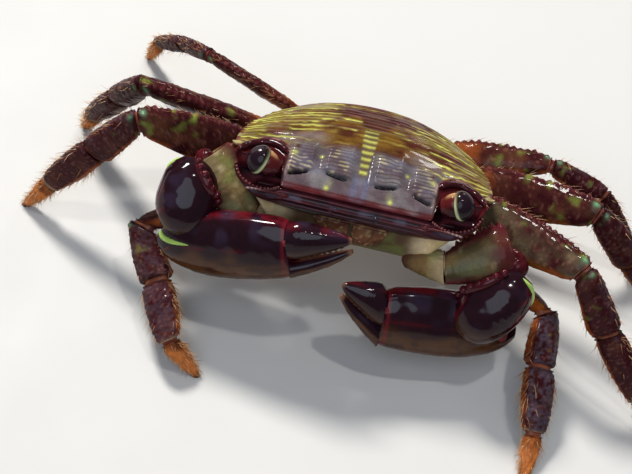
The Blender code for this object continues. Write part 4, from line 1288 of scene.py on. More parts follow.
def leg_finish(seg, part, side, number, group):
    """Grid pushed out by ridges, teeth and granules, and its tint, for one segment of a leg."""
    seed = 50 + number * 7 + LEG_SEGMENTS.index(part)
    it, inner = leg_surface(seg, seed), seg["inner"]
    if part == "dactyl":
        lift, tint = point_finish(it, group)
        return push(it.grid, lift * ~inner), blend(tint, LEG.inside, 0.55 * inner)
    if part == "merus":
        lift, tint = merus_finish(it, side, number, group)
    else:
        lift, tint = outer_finish(it, part, number, group)
        if number == 1:
            grain = ease(-0.5, 0.3, mottle(it.grid, 0.45, seed + 7) + 0.5 * it.fleck)
            shown = (0.75 if side == "left" else 0.35) * fade(0.75, 0.95, np.abs(it.back))
            tint = blend(tint, LEG.grey, grain * shown)
    bumps = ease(0.1, 0.5, mottle(it.grid, 0.7, seed + 8)) * ease(0.3, 0.7, it.back)
    lift = (lift + 0.06 * bumps * it.ends) * ~inner
    # Pale dots: partly the shell's granules and partly painted glints.
    specks = ease(0.35, 0.6, mottle(it.grid, 0.33, seed + 4))
    return push(it.grid, lift), painted(
        tint,
        (LEG.speck, 0.24 * specks),
        (LEG.inside, 0.55 * inner))


def joint_skin(near, far, joint):
    """Soft skin of a joint: closed rounded sections from inside one segment's end ring to inside the
    next one's start ring, bulging a little between them."""
    first, second = near["grid"][-5], far["grid"][4]
    middle, next_middle = first.mean(0), second.mean(0)
    start = middle - unit(middle - near["grid"][-20].mean(0))
    end = next_middle + unit(far["grid"][20].mean(0) - next_middle)
    first, second = first - middle, second - next_middle
    second = np.roll(second, -np.argmin(np.linalg.norm(second - first[0], axis=1)), axis=0)
    t = np.linspace(0, 1, 17)
    near_joint, past_joint = (ring * 0.9 + joint * 0.1 for ring in (middle, next_middle))
    line = curve(((0.0, *start), (0.4, *near_joint), (0.6, *past_joint), (1.0, *end)), t)[:, None]
    t = t[:, None, None]
    swell = JOINT_SCALE * (0.86 + 0.14 * np.sin(np.pi * t) + 0.03 * np.cos(t * 40))
    grid = line + ((1 - t) * first + t * second) * swell * spindle(t, 0.2, 0.02)
    return tube(grid, blend(plain(LEG.skin, grid), LEG.skin_shade, 0.5 + 0.8 * mottle(grid, 1.1, 61)))


def hip_skin(side, number):
    """Short stout base of a leg, from inside the trunk to inside the start of its merus."""
    joints, ways, _ = leg_chain(side, number)
    joint, way = joints[0], ways[0]
    t = np.linspace(0, 1, 40)
    inside = np.array((0.0, joint[1] * 0.55, joint[2] - 1.0)) * 0.25 + joint * 0.75
    path = curve(((0.0, *inside), (0.45, *(joint - way * 0.9)), (1.0, *(joint + way * 2.6))), t)
    grid = pipe(path, LEG_WIDTHS[number - 1][0] * curve(HIP_PROFILE, t) * spindle(t, 0.15), 30)
    grid = push(grid, 0.05 * ease(0.1, 0.6, mottle(grid, 0.5, 62)))
    return tube(grid, blend(plain(LEG.hip, grid), LEG.hip_shade, 0.4 + 0.8 * mottle(grid, 1.6, 63)))


# Claws


def arm_place(side, near, far):
    """Place of an arm segment, with its dorsal edge square to the face that both arms show, and its way."""
    way = unit(far - near)
    dorsal = np.cross(way, ARM_FACE) if side == "right" else np.cross(ARM_FACE, way)
    return place_of(near, way, dorsal), way


def hand_segment(side, at):
    """The palm carried on through a web into its fixed finger, as one skin."""
    along = unit(at["palm_end"] - at["heel"])
    heel = at["palm_end"] - along * PALM_LENGTH
    place = place_of(heel, along, PALM_UP[side])
    up = place[1][:, 2]
    palm = segment(place, CLAW_PROFILES["palm"], (heel, along), (at["palm_end"], along), 104, 88, 2.2,
                   (ROUND, ()))
    start, tip = at["palm_end"] + along * GAP - up * FINGER_BASE_DROP, at["tip"] - up * FINGER_TIP_DROP
    way = unit(tip - start)
    finger = segment(place_of(start, way, up), CLAW_PROFILES["fixed_finger"], (start, along), (tip, way),
                     46, 88, 2.2, ((), ROUND))
    step = ease(0.0, 1.0, WEB_ROWS)[:, None, None]
    web = palm["grid"][-1] * (1 - step) + finger["grid"][0] * step
    web = web + along * (0.25 * np.sin(np.pi * WEB_ROWS))[:, None, None]
    ones = np.ones(web.shape[:2])
    hand = {mark: np.concatenate((palm[mark], palm[mark][-1] * ones, finger[mark]))
            for mark in ("angle", "back", "face")}
    hand["grid"] = np.concatenate((palm["grid"], web, finger["grid"]))
    hand["share"] = np.concatenate((palm["share"], ones, 1 + finger["share"]))
    hand["x"] = np.concatenate((palm["x"], ones * PALM_LENGTH, PALM_LENGTH + finger["x"]))
    hand["inner"] = np.zeros_like(hand["share"], bool)
    return hand


def claw_segments(side):
    """Skins of one claw arm: two arm segments mitred at the shoulder, the dome of the carpus, the palm
    carried on into its fixed finger, and the movable finger. The joints come second."""
    at = {joint: np.array(point) for joint, point in zip(CLAW_JOINTS, CLAW_POINTS[side])}
    turn = unit(at["shoulder"] - at["root"]) + unit(at["elbow"] - at["shoulder"])
    found = {}
    for part, near, far, caps in (("ischium", "root", "shoulder", (DOME, LIP)),
                                  ("merus", "shoulder", "elbow", (LIP, LIP)),
                                  ("carpus", "carpus_top", "carpus_end", (ROUND, ROUND))):
        place, way = arm_place(side, at[near], at[far])
        start = after(at[near], turn) if part == "merus" else (at[near], way)
        end = before(at[far], turn) if part == "ischium" else (at[far], way)
        found[part] = segment(place, CLAW_PROFILES[part], start, end, 90, 80, 2.2, caps)
    found["propodus"] = hand_segment(side, at)
    way = at["tip"] - at["hinge"]
    start = after(at["palm_end"], unit(at["palm_end"] - at["heel"]), 2 * GAP)
    found["dactyl"] = segment(place_of(at["hinge"], way, PALM_UP[side]), CLAW_PROFILES["dactyl"], start,
                              (at["tip"], way), 86, 72, 2.2, (ROUND, ROUND))
    return found, at


def claw_surface(seg, seed):
    """What every part of a claw's finish reads: its skin, its shares and its noises."""
    grid = seg["grid"]
    return SimpleNamespace(
        seg=seg, seed=seed, grid=grid, share=seg["share"], back=seg["back"],
        blotch=mottle(grid, 2.8, seed), fleck=mottle(grid, 0.8, seed + 1),
        granules=ease(0.2, 0.7, mottle(grid, 0.5, seed + 2)))


def root_finish(it, group):
    """Lift and tint of an ischium: mottled, with short ridges, dark at the body, pale at the shoulder."""
    lift = 0.05 * short_ridges(it.seg, 1.0, it.seed) + 0.04 * it.granules
    return lift, coated(
        it.grid, group.arm_colour,
        (CLAW.brown, 0.4 + 0.9 * it.blotch),
        (CLAW.green, 0.35 * ease(0.2, 0.7, mottle(it.grid, 2.2, it.seed + 3))),
        (CLAW.root, 0.8 * fade(0.0, 0.35, it.share)),
        (CLAW.pale, 0.5 * ease(0.5, 0.95, it.share) * ease(-0.4, 0.3, it.blotch)))


def arm_finish(it, side, group):
    """Lift and tint of a claw's merus: olive and streaked, with cream patches that are painted highlights,
    and red toothed margins.
    """
    grid, share, back, seed = it.grid, it.share, it.back, it.seed
    left = side == "left"
    teeth = margin_teeth(it.seg, LEG_TEETH_PITCH, seed, 0.14)
    ends = ease(0.05, 0.2, share) * fade(0.9, 1.0, share)
    lift = 0.05 * short_ridges(it.seg, 1.0, seed) + 0.04 * it.granules + 0.55 * teeth * ends
    x = it.seg["x"]
    drawn_out = np.stack((x * 0.4, it.seg["angle"] * 2.4, 0 * x), -1)
    tint = coated(
        grid, group.arm_colour,
        (CLAW.brown, 0.4 + 0.9 * it.blotch),
        (CLAW.green, 0.35 * ease(0.2, 0.7, mottle(grid, 2.2, seed + 3))),
        (CLAW.olive, (0.85 if left else 0.45) * ease(-0.5, 0.4, mottle(grid, 3.0, seed + 4))),
        (CLAW.streak, 0.6 * ease(0.0, 0.6, mottle(drawn_out, 1.0, seed + 6))),
        # Cream patches: painted highlights on the wet arm.
        (CLAW.cream, 0.40 * ease(0.3, 0.8, mottle(grid, 1.4, seed + 2))))
    return lift, painted(
        tint * (0.62 if left else 0.92),
        (CLAW.elbow, 0.85 * ease(0.55, 0.92, share + 0.06 * it.fleck) * left),
        (CLAW.upper, 0.9 * ease(0.40, 0.85, back)),
        (CLAW.tooth, 0.5 * teeth),
        (CLAW.lower, 0.8 * ease(0.55, 0.92, -back)))


def dome_finish(it, side, at, group):
    """Lift and tint of a carpus: a lumpy dome, mottled below and red at its sides."""
    grid, centre = it.grid, (at["carpus_top"] + at["carpus_end"]) / 2
    outer = (grid - centre) @ unit(mirrored((1.0, -0.25, 0.0), side))
    lift = 0.05 * it.granules * ease(0.0, 3.0, outer) + 0.10 * mottle(grid, 1.7, it.seed + 3)
    sunk = centre[2] - grid[..., 2] + 1.2 * it.blotch
    sides = ease(3.4, 4.6, np.abs(outer)) * ease(-0.6, 0.5, it.fleck)
    return lift, coated(
        grid, group.top_colour,
        (group.bottom_colour, 0.75 * ease(-0.2, 3.6, sunk)),
        (np.array(group.margin_colour) * 0.8, 0.6 * sides))


def finger_teeth(it, at_angle, start, end):
    """Share of a finger's toothed edge at an angle round it, from a start and an end along its share."""
    teeth = ease(*start, it.share) * bump(it.seg["angle"], at_angle, 0.35)
    return teeth, fade(*end, it.share)


def hand_finish(it, group):
    """Lift and tint of a palm with its fixed finger: dark above, mottled below, with red edges."""
    grid, share, back, seed, x = it.grid, it.share, it.back, it.seed, it.seg["x"]
    dark, red = np.array(group.top_colour), np.array(group.margin_colour)
    palm = fade(0.98, 1.05, share)
    teeth, before_tip = finger_teeth(it, np.pi / 2, (1.05, 1.2), (1.85, 1.98))
    lumps = 0.05 * mottle(grid, 1.9, seed + 3) + 0.045 * it.granules * ease(0.0, 0.8, -back)
    crest = 0.10 * bump(back, 0.86, 0.07) * palm * ease(0.1, 0.3, share)
    lift = lumps + crest + 0.22 * teeth * np.abs(np.sin(x * 3.6)) * before_tip
    streak = mottle(np.stack((x * 0.22, it.seg["angle"] * 3.0), -1), 0.5, seed + 4)
    return lift, coated(
        grid, dark,
        (group.bottom_colour, 0.92 * ease(0.08, 0.44, -back + 0.22 * it.blotch)),
        (dark, 0.55 * ease(0.1, 0.6, streak) * ease(0.1, 0.4, -back)),
        (red * 0.8, 0.75 * bump(back, 0.99, 0.10) * ease(-0.7, 0.3, it.fleck)),
        (red * 0.5, 0.5 * bump(back, 0.04, 0.05) * palm * ease(-0.4, 0.4, it.blotch)),
        (red, 0.6 * bump(share, 0.985, 0.012)),
        (group.edge_colour, 0.75 * ease(0.93, 1.0, -back + 0.04 * it.fleck)),
        (red, 0.5 * bump(it.seg["face"], 0.0, 0.2) * ease(1.0, 1.1, share)),
        (CLAW.tip, 0.6 * teeth + 0.45 * ease(1.90, 1.99, share)))


def finger_finish(it, group):
    """Lift and tint of a movable finger: dark and red above, with a pale toothed edge and tip."""
    share, back = it.share, it.back
    teeth, before_tip = finger_teeth(it, 1.5 * np.pi, (0.12, 0.25), (0.85, 0.97))
    lift = 0.04 * it.granules * ease(0.0, 0.6, back) * (1 - share)
    lift = lift + 0.22 * teeth * np.abs(np.sin(it.seg["x"] * 3.4)) * before_tip
    return lift, coated(
        it.grid, group.top_colour,
        (group.margin_colour, 0.35 * ease(0.6, 0.95, back) * ease(-0.3, 0.4, it.blotch)),
        (CLAW.tip, 0.6 * teeth + 0.45 * ease(0.93, 1.0, share)),
        (group.bottom_colour, 0.5 * ease(0.2, 0.7, -back) * (1 - share)))


def claw_finish(seg, part, side, at, group):
    """Grid pushed out by teeth, granules and low ridges, and its tint, for one part of a claw arm."""
    seed = 90 + CLAW_PARTS.index(part) * 5 + (side == "left")
    it = claw_surface(seg, seed)
    lift, tint = {"ischium": lambda: root_finish(it, group),
                  "merus": lambda: arm_finish(it, side, group),
                  "carpus": lambda: dome_finish(it, side, at, group),
                  "propodus": lambda: hand_finish(it, group),
                  "dactyl": lambda: finger_finish(it, group)}[part]()
    if part not in ARM_PARTS:
        # Slate-purple mottling on the upper side: partly the shell's own tone and partly a painted
        # reflection of a pale sky.
        violet = ease(-0.1, 0.6, mottle(it.grid, 2.3, seed + 9)) * ease(-0.1, 0.4, it.back)
        tint = painted(
            tint,
            (np.array(group.top_colour) * 1.8, 0.35 * ease(0.25, 0.8, it.fleck)),
            (CLAW.violet, 0.5 * violet))
    return push(it.grid, lift * ~seg["inner"]), blend(tint, CLAW.inside, 0.85 * seg["inner"])


# Crest of beads beside each dome's inner edge, and the crescents: share and degrees round a part's skin.
CRESTS = {
    "left": ((0.72, 262), (0.60, 244), (0.48, 230), (0.36, 224), (0.24, 220), (0.12, 217)),
    "right": ((0.03, 350), (0.12, 340), (0.22, 328), (0.32, 316), (0.41, 300), (0.50, 284)),
}
CRESCENTS = {
    "left": (("carpus", ((0.02, 190), (0.02, 150), (0.04, 115), (0.14, 88), (0.26, 78)), 0.42),),
    "right": (("propodus", ((0.015, 98), (0.025, 128), (0.065, 157), (0.15, 171), (0.29, 174)), 0.48),
              ("carpus", ((0.24, 84), (0.15, 88), (0.07, 90), (0.02, 80)), 0.36)),
}
CREST_BEADS = 7
# Least height of a bristle's points above the floor.
LEAST_HEIGHT = 0.05


def skin_at(seg, share, degrees):
    """Point of a finished skin nearest a share of its length and an angle round it."""
    i = np.argmin(np.abs(seg["share"][:, 0] - share))
    j = np.argmin(np.abs(np.degrees(seg["angle"][i]) - degrees))
    return seg["skin"][i, j]


def claw_trim(side, found, group):
    """Crest of glossy beads along the dome and the bright crescents round it, tapered to both ends."""
    dome = found["carpus"]
    crest = np.array([skin_at(dome, share, degrees) for share, degrees in CRESTS[side]])
    line = through(crest, np.linspace(0, len(crest) - 1, 60))
    skins = [plain_tube(pipe(line, 0.85 * spindle(np.linspace(0, 1, 60)), 16), CLAW.crest)]
    spots = line[np.linspace(3, 56, CREST_BEADS).astype(int)]
    sizes = 0.52 + 0.22 * hashed(np.arange(CREST_BEADS)[:, None], 5)
    skins.append(beads(spots + unit(spots - middle_of(dome["skin"])) * 0.42, sizes, CLAW.bead, 14))
    t = np.linspace(0, 1, 50)
    for part, stations, size in CRESCENTS[side]:
        knots = np.array([skin_at(found[part], share, degrees) for share, degrees in stations])
        knots = knots - 0.12 * unit(knots - middle_of(found[part]["skin"]))
        taper = np.clip(4 * t * (1 - t), 0.04, 1) ** 0.8
        grid = pipe(through(knots, np.linspace(0, len(knots) - 1, 50)), size * taper, 14)
        skins.append(plain_tube(grid, group.crescent_colour))
    return joined(*skins)


def claw_joints(side, at):
    """Soft skin and hinge bosses of one claw arm: at the shoulder, the elbow, the wrist and the finger."""
    shoulder, elbow, palm_end = at["shoulder"], at["elbow"], at["palm_end"]
    along, arm = unit(palm_end - at["heel"]), unit(elbow - shoulder)
    up = place_of(at["heel"], along, PALM_UP[side])[1][:, 2]
    wrist = palm_end - along * (PALM_LENGTH - 0.9)
    knots = ((shoulder - unit(shoulder - at["root"]) * 1.8, shoulder + arm * 1.8, 1.75, CLAW.shoulder),
             (elbow - arm * 1.2, at["carpus_top"], 1.75, CLAW.elbow_skin),
             (at["carpus_end"] * 0.55 + wrist * 0.45 - along, wrist + along * 1.2, 2.3, CLAW.wrist),
             (palm_end - along + up * 1.2, palm_end + along * 1.4 + up * 1.2, 2.1, CLAW.finger_skin))
    t, skins = np.linspace(0, 1, 25), []
    for near, far, size, colour in knots:
        radius = size * (1 + 0.02 * np.cos(t * 34)) * spindle(t, 1.0, 0.03)
        grid = pipe(near + (far - near) * t[:, None], radius, 30)
        tint = blend(plain(colour, grid), colour * 0.5, 0.4 + 0.8 * mottle(grid, 0.9, 71))
        skins.append(tube(grid, tint))
    # Hinge bosses on both sides of the movable finger.
    centre, across = palm_end + along * 0.15 + up * 1.6, np.cross(up, along)
    skins.append(beads((centre + across * 2.0, centre - across * 2.0), (0.6, 0.6), CLAW.boss, 16))
    return joined(*skins)


# Bristles


def bristle_skin(roots, normals, along, lengths, thickness, colours, spots, seed):
    """Thin curved spikes: three-sided rings that taper along an arc from the surface toward the
    segment's point. Each keeps its UV inside a patch 0.003 wide at its root's spot."""
    count = len(roots)
    rng = np.random.default_rng(seed)
    lean = unit(0.55 * normals + 0.75 * along + 0.22 * rng.normal(size=(count, 3)))
    bend = 0.30 * along + 0.12 * rng.normal(size=(count, 3))
    side = unit(np.cross(lean, rng.normal(size=(count, 3))))
    lift = np.cross(lean, side)
    t = np.array((0.0, 0.35, 0.7))[None, :, None]
    arc = (lean[:, None] * t + bend[:, None] * t ** 2) * lengths[:, None, None]
    spine = (roots - normals * 0.06)[:, None] + arc
    turn = 2 * np.pi * np.arange(3) / 3
    ring = np.cos(turn)[:, None] * side[:, None] + np.sin(turn)[:, None] * lift[:, None]
    size = thickness[:, None] * np.array((1.0, 0.8, 0.45))
    body = spine[:, :, None] + ring[:, None] * size[:, :, None, None]
    tip = roots + (lean + bend) * lengths[:, None]
    points = np.concatenate((body.reshape(count, 9, 3), tip[:, None]), axis=1).reshape(-1, 3)
    points[:, 2] = np.maximum(points[:, 2], LEAST_HEIGHT)
    sides = [(r + k, r + (k + 1) % 3, r + 3 + (k + 1) % 3, r + 3 + k) for r in (0, 3) for k in range(3)]
    one = [(2, 1, 0), *sides, (6, 7, 9), (7, 8, 9), (8, 6, 9)]
    faces = [[corner + number * 10 for corner in face] for number in range(count) for face in one]
    corners = np.array([corner for face in one for corner in face])
    patch = 0.0012 * np.stack((np.cos(corners * 2.1), np.sin(corners * 2.1)), -1)
    return points, faces, np.repeat(colours, 10, axis=0), (spots[:, None] + patch[None]).reshape(-1, 2)


def bristle_roots(seg, count, weight, seed, cell, cells):
    """Roots drawn over a segment's skin by weight, with their normals, headings and spots on its unwrap,
    which is one cell of a square sheet; and the generator that drew them."""
    rng = np.random.default_rng(seed)
    grid = seg["skin"]
    rows, sides = grid.shape[:2]
    chance = (weight * ~seg["inner"]).reshape(-1) + 1e-9
    chosen = rng.choice(chance.size, size=count, replace=False, p=chance / chance.sum())
    i, j = np.unravel_index(chosen, (rows, sides))
    along = unit(grid[np.minimum(i + 2, rows - 1), j] - grid[np.maximum(i - 2, 0), j])
    unwrap = np.stack(((j + 0.5) / sides, i / rows), -1) * 0.9 + 0.05
    spots = (np.array((cell % cells, cell // cells)) + unwrap) / cells
    return grid[i, j], grid_normals(grid)[i, j], along, spots, rng


def bristle_growth(part, number, seg):
    """Weight at each point, count, length and thickness of the bristles of one segment."""
    edge = ease(0.75, 0.97, np.abs(seg["back"]))
    return {"merus": (ease(0.9, 1.0, seg["back"]), 34, 1.3, 0.045),
            "carpus": (edge, 44, 1.2, 0.045),
            "propodus": (edge + 0.06, 130 if number < 3 else 90, 1.5, 0.05),
            "dactyl": (0.35 + edge, 250, 1.15, 0.055)}[part]


def leg_bristles(side, segments):
    """Bristles of one side's four legs: dense on the points, a fringe on the long edges, few elsewhere."""
    tufts = []
    for cell, (number, part) in enumerate(product(LEG_NUMBERS, LEG_SEGMENTS)):
        seg = segments[side, number][part]
        weight, count, length, thick = bristle_growth(part, number, seg)
        weight = weight * ease(0.03, 0.1, seg["share"]) * fade(0.9, 0.97, seg["share"])
        roots, normals, along, spots, rng = bristle_roots(seg, count, weight, 700 + cell, cell, 4)
        lengths = length * rng.uniform(0.55, 1.25, count)
        # Bristles stop short of the floor.
        drop = -(0.55 * normals + 1.05 * along)[:, 2]
        room = roots[:, 2] / np.maximum(drop, 0.05) * 0.8
        lengths = np.where(drop > 0.05, np.minimum(lengths, room), lengths)
        colours = np.broadcast_to(LEG.bristle, (count, 3))
        colours = blend(colours, LEG.bristle_pale, rng.uniform(0, 1, count))
        colours = blend(colours, LEG.bristle_dark, rng.uniform(-0.6, 0.8, count))
        thickness = thick * rng.uniform(0.6, 1.1, count)
        tufts.append(bristle_skin(roots, normals, along, lengths, thickness, colours, spots, 900 + cell))
    return joined(*[tuft[:3] for tuft in tufts]), np.concatenate([tuft[3] for tuft in tufts])


# Sizes and colours that a user would change


def size_of(name, description, default, low, high):
    """Number between two limits that a user can set."""
    return FloatProperty(name=name, description=description, default=default, min=low, max=high)


def colour_of(name, description, value):
    """Colour that a user can set."""
    return FloatVectorProperty(name=name, description=description, subtype="COLOR", size=3, min=0, max=1,
                               default=tuple(value))


class CrabShell(bpy.types.PropertyGroup):
    """Sizes and colours of the carapace."""
    line_pitch: size_of("Line pitch", "Distance between raised lines, in millimetres", LINE_PITCH, 0.6, 3.0)
    line_height: size_of("Line height", "Height of the raised lines, in millimetres", 0.09, 0.0, 0.3)
    shell_colour: colour_of("Shell", "Dark ground of the carapace", rgb(74, 28, 26))
    line_colour: colour_of("Lines", "Clearest lines and spots", rgb(184, 186, 92))
    dull_line_colour: colour_of("Dull lines", "Weaker parts of the lines", rgb(132, 118, 54))
    # Mostly a painted reflection of a pale sky on the dark shell of the front field.
    lobe_reflection_colour: colour_of("Lobes", "Front lobes and the apron before them", rgb(108, 102, 103))
    margin_colour: colour_of("Margins", "Front margin and eye sockets", rgb(126, 40, 44))


class CrabLegs(bpy.types.PropertyGroup):
    """Sizes and colours of the walking legs."""
    ridge_height: size_of("Ridge height", "Height of the short ridges, in millimetres", 0.09, 0.0, 0.3)
    rows: IntProperty(name="Rows", description="Rows of points along each segment", default=66, min=24,
                      max=160)
    back_colour: colour_of("Back", "Dark upper edge of each segment", rgb(54, 19, 22))
    face_colour: colour_of("Faces", "Flat faces of each segment", rgb(84, 48, 34))
    # Partly the legs' colour and partly a painted glow of light shining through the bases and lower edges.
    base_and_glow_colour: colour_of("Base", "Bases and lower edges", rgb(150, 76, 28))
    knee_colour: colour_of("Knee", "Spot at each knee", rgb(104, 150, 112))
    tip_colour: colour_of("Points", "Bristly leg points", rgb(184, 106, 52))


class CrabClaws(bpy.types.PropertyGroup):
    """Colours of the claws."""
    top_colour: colour_of("Top", "Dark upper half of the hands and fingers", rgb(30, 9, 17))
    bottom_colour: colour_of("Bottom", "Mottled lower half", rgb(76, 46, 24))
    margin_colour: colour_of("Margins", "Long edges of the hands", rgb(112, 20, 30))
    edge_colour: colour_of("Lowest edge", "Lowest edge of the hands", rgb(158, 66, 38))
    crescent_colour: colour_of("Crescents", "Crescents beside the wrists", rgb(158, 188, 92))
    arm_colour: colour_of("Arms", "Arms between the body and the domes", rgb(140, 116, 74))


class CrabStage(bpy.types.PropertyGroup):
    """Light and floor."""
    key_power: size_of("Key", "Power of the main light, in watts", 16.0, 0.0, 200.0)
    fill_power: size_of("Fill", "Power of the soft lights, in watts", 1.5, 0.0, 50.0)
    floor_colour: colour_of("Floor", "Colour of the floor", (0.56, 0.545, 0.52))


# Operators


class CRAB_OT_carapace(bpy.types.Operator):
    """Make the carapace with its lobes, raised lines and margins"""
    bl_idname = "crab.carapace"
    bl_label = "Carapace"

    def execute(self, context):
        skin = carapace_skin(context.scene.crab_shell)
        make_piece("carapace_shell", skin, "carapace", "Banded shell", ("carapace",))
        return {"FINISHED"}


class CRAB_OT_underside(bpy.types.Operator):
    """Make the underside and the folded tail flap"""
    bl_idname = "crab.underside"
    bl_label = "Underside"

    def execute(self, context):
        make_piece("underside_shell", underside_skin(), "underside", "Pale underside", ("trunk",))
        make_piece("tail_flap", flap_skin(), "flap", "Pale underside", ("abdomen",))
        return {"FINISHED"}


class CRAB_OT_face(bpy.types.Operator):
    """Make the mouth frame, outer mouthparts and antennae"""
    bl_idname = "crab.face"
    bl_label = "Face"

    def execute(self, context):
        make_piece("mouth_frame", face_skin(), "carapace", "Eyestalk shell")
        make_piece("face_plate", cheek_skin(), "carapace", "Eyestalk shell")
        for side in SIDES:
            make_piece(side + "_mouth_plate", mouthpart_skin(side), "mouthpart", "Pale underside",
                       (side + "_mouthpart",))
            make_piece(side + "_antenna_whip", antenna_skin(side), "antenna", "Antenna shell",
                       (side + "_antenna",))
        return {"FINISHED"}


class CRAB_OT_eyes(bpy.types.Operator):
    """Make the eyestalks, the corneas and the rims of their sockets"""
    bl_idname = "crab.eyes"
    bl_label = "Eyes"

    def execute(self, context):
        for side in SIDES:
            stalk, ball = eye_skins(side)
            make_piece(side + "_eye_base", stalk, "eyestalk", "Eyestalk shell", (side + "_eyestalk",))
            make_piece(side + "_eye", ball, "cornea", "Cornea", (side + "_cornea",))
            make_piece(side + "_eye_rims", orbit_rims(side), "carapace", "Eyestalk shell")
        return {"FINISHED"}


class CRAB_OT_claws(bpy.types.Operator):
    """Make both claw arms with their domes, hands, fingers and joints"""
    bl_idname = "crab.claws"
    bl_label = "Claws"

    def execute(self, context):
        group = context.scene.crab_claws
        for side in SIDES:
            found, at = claw_segments(side)
            for part, seg in found.items():
                seg["skin"], tint = claw_finish(seg, part, side, at, group)
                name = f"{side}_claw_{part}"
                looks = CLAW_ARM_LOOKS if part in ARM_PARTS else CLAW_LOOKS
                make_piece(name + "_shell", tube(seg["skin"], tint), *looks, (name,))
            make_piece(side + "_claw_joints", claw_joints(side, at), "membrane", "Joint skin")
            make_piece(side + "_claw_crest", claw_trim(side, found, group), *CLAW_LOOKS)
        return {"FINISHED"}


def dressed_legs(group):
    """Segments of all eight legs, each with its finished skin and tint."""
    legs = {which: leg_segments(*which, group.rows) for which in product(SIDES, LEG_NUMBERS)}
    for (side, number), segments in legs.items():
        for part, seg in segments.items():
            seg["skin"], seg["tint"] = leg_finish(seg, part, side, number, group)
    return legs


class CRAB_OT_legs(bpy.types.Operator):
    """Make the four segments of each walking leg"""
    bl_idname = "crab.legs"
    bl_label = "Legs"

    def execute(self, context):
        for (side, number), segments in dressed_legs(context.scene.crab_legs).items():
            for part, seg in segments.items():
                name = f"{side}_leg_{number}_{part}"
                looks = LEG_TIP_LOOKS if part == "dactyl" else LEG_LOOKS
                make_piece(name + "_shell", tube(seg["skin"], seg["tint"]), *looks, (name,))
        return {"FINISHED"}


class CRAB_OT_joint_skin(bpy.types.Operator):
    """Make the soft skin in the leg joints and the short bases of the legs"""
    bl_idname = "crab.joint_skin"
    bl_label = "Joint skin"

    def execute(self, context):
        for (side, number), segments in dressed_legs(context.scene.crab_legs).items():
            joints = leg_chain(side, number)[0]
            order = [segments[part] for part in LEG_SEGMENTS]
            skins = [joint_skin(near, far, joint) for near, far, joint in zip(order, order[1:], joints[1:])]
            make_piece(f"{side}_leg_{number}_joints", joined(*skins), "membrane", "Joint skin")
            make_piece(f"{side}_leg_{number}_base", hip_skin(side, number), *LEG_LOOKS)
        return {"FINISHED"}


class CRAB_OT_bristles(bpy.types.Operator):
    """Make the bristles of the legs"""
    bl_idname = "crab.bristles"
    bl_label = "Bristles"

    def execute(self, context):
        legs = dressed_legs(context.scene.crab_legs)
        for side in SIDES:
            skin, uv = leg_bristles(side, legs)
            make_piece(side + "_leg_bristles", skin, "bristle", "Bristle", uv=("OFBake", uv))
        return {"FINISHED"}


def area_light(name, power, size, place, colour):
    """Round flat light, of a width in metres, that faces the middle of the model."""
    light = bpy.data.lights.new(name, "AREA")
    light.shape = "DISK"
    light.energy, light.size, light.color = power, size, colour
    made = bpy.data.objects.new(name, light)
    bpy.context.scene.collection.objects.link(made)
    made.location = place
    made.rotation_euler = (-Vector(place)).to_track_quat("-Z", "Y").to_euler()


def make_floor(colour):
    """Level floor with slightly uneven gloss."""
    mesh = bpy.data.meshes.new("floor")
    corners = [(x * FLOOR_REACH, y * FLOOR_REACH, 0) for x, y in ((-1, -1), (1, -1), (1, 1), (-1, 1))]
    mesh.from_pydata(corners, [], [(0, 1, 2, 3)])
    floor = bpy.data.objects.new("floor", mesh)
    bpy.context.scene.collection.objects.link(floor)
    matte = bpy.data.materials.new("Pale floor")
    matte.use_nodes = True
    tree = matte.node_tree
    place = add_node(tree, "ShaderNodeTexCoord")
    fill_sockets(tree, tree.nodes["Principled BSDF"], {
        "Base Color": (*colour, 1.0), "Roughness": ranged(tree, field(tree, place, 60.0), 0.6, 0.75)})
    mesh.materials.append(matte)


def make_room(scene):
    """Even light from all sides."""
    scene.world = bpy.data.worlds.new("Pale room")
    scene.world.use_nodes = True
    tree = scene.world.node_tree
    fill_sockets(tree, tree.nodes["Background"], {"Color": (0.86, 0.92, 1.0, 1.0), "Strength": 0.20})
    scene.view_settings.view_transform = "Standard"


def make_camera(scene):
    """Camera at its turn, height and roll, facing its target."""
    turn, height, roll = (math.radians(angle) for angle in CAMERA_ANGLES)
    level = math.cos(height)
    back = np.array((math.sin(turn) * level, -math.cos(turn) * level, math.sin(height)))
    right = unit(np.cross((0, 0, 1), back))
    up = np.cross(back, right)
    axes = np.stack((math.cos(roll) * right + math.sin(roll) * up,
                     -math.sin(roll) * right + math.cos(roll) * up, back), axis=1)
    centre = world(np.array(CAMERA_TARGET) + back * CAMERA_DISTANCE)
    data = bpy.data.cameras.new("Camera")
    data.sensor_width, data.lens, data.clip_start = 36.0, CAMERA_LENS, 0.01
    camera = bpy.data.objects.new("Camera", data)
    scene.collection.objects.link(camera)
    camera.matrix_world = Matrix(np.block([[axes, centre[:, None]], [np.array((0, 0, 0, 1))]]).tolist())
    scene.camera = camera


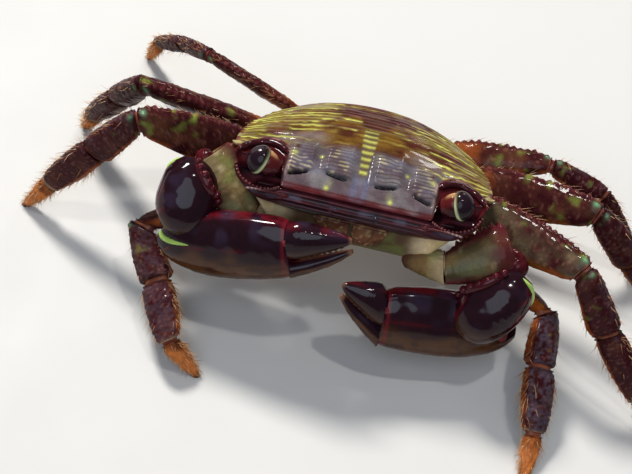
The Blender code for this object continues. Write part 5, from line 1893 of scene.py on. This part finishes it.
class CRAB_OT_stage(bpy.types.Operator):
    """Make the floor, the lights and the camera"""
    bl_idname = "crab.stage"
    bl_label = "Stage"

    def execute(self, context):
        group, scene = context.scene.crab_stage, context.scene
        make_floor(group.floor_colour)
        make_room(scene)
        area_light("Key", group.key_power, 0.24, (-0.44, 0.52, 0.92), (1.0, 0.98, 0.94))
        area_light("Fill", group.fill_power * 1.7, 0.62, (-0.08, -0.50, 0.60), (0.72, 0.84, 1.0))
        area_light("Sparkle", group.fill_power, 0.05, (0.14, -0.08, 0.9), (1.0, 1.0, 1.0))
        area_light("Back sparkle", group.fill_power * 0.25, 0.08, (0.12, 0.55, 0.28), (1.0, 0.97, 0.92))
        make_camera(scene)
        return {"FINISHED"}


class CRAB_PT_panel(bpy.types.Panel):
    """Sizes, colours and steps of the shore crab"""
    bl_idname = "CRAB_PT_panel"
    bl_label = "Shore crab"
    bl_space_type = "VIEW_3D"
    bl_region_type = "UI"
    bl_category = "Shore crab"

    def draw(self, context):
        for name, label, kind in GROUPS:
            box = self.layout.box()
            box.label(text=label)
            group = getattr(context.scene, name)
            for prop in kind.__annotations__:
                box.prop(group, prop)
        for kind in STEPS:
            self.layout.operator(kind.bl_idname, text=kind.bl_label)


GROUPS = (("crab_shell", "Carapace", CrabShell), ("crab_legs", "Legs", CrabLegs),
          ("crab_claws", "Claws", CrabClaws), ("crab_stage", "Stage", CrabStage))
STEPS = (CRAB_OT_carapace, CRAB_OT_underside, CRAB_OT_face, CRAB_OT_eyes, CRAB_OT_claws, CRAB_OT_legs,
         CRAB_OT_joint_skin, CRAB_OT_bristles, CRAB_OT_stage)


def register():
    """Adds the groups, the steps and the panel."""
    for name, _, kind in GROUPS:
        bpy.utils.register_class(kind)
        setattr(bpy.types.Scene, name, PointerProperty(type=kind))
    for kind in (*STEPS, CRAB_PT_panel):
        bpy.utils.register_class(kind)


def unregister():
    """Takes the groups, the steps and the panel away."""
    for kind in (CRAB_PT_panel, *reversed(STEPS)):
        bpy.utils.unregister_class(kind)
    for name, _, kind in GROUPS:
        delattr(bpy.types.Scene, name)
        bpy.utils.unregister_class(kind)


def main():
    """Makes the crab in its order of steps."""
    register()
    for kind in STEPS:
        getattr(bpy.ops.crab, kind.bl_idname.split(".")[1])()
    bpy.context.view_layer.update()


if __name__ == "__main__":
    main()
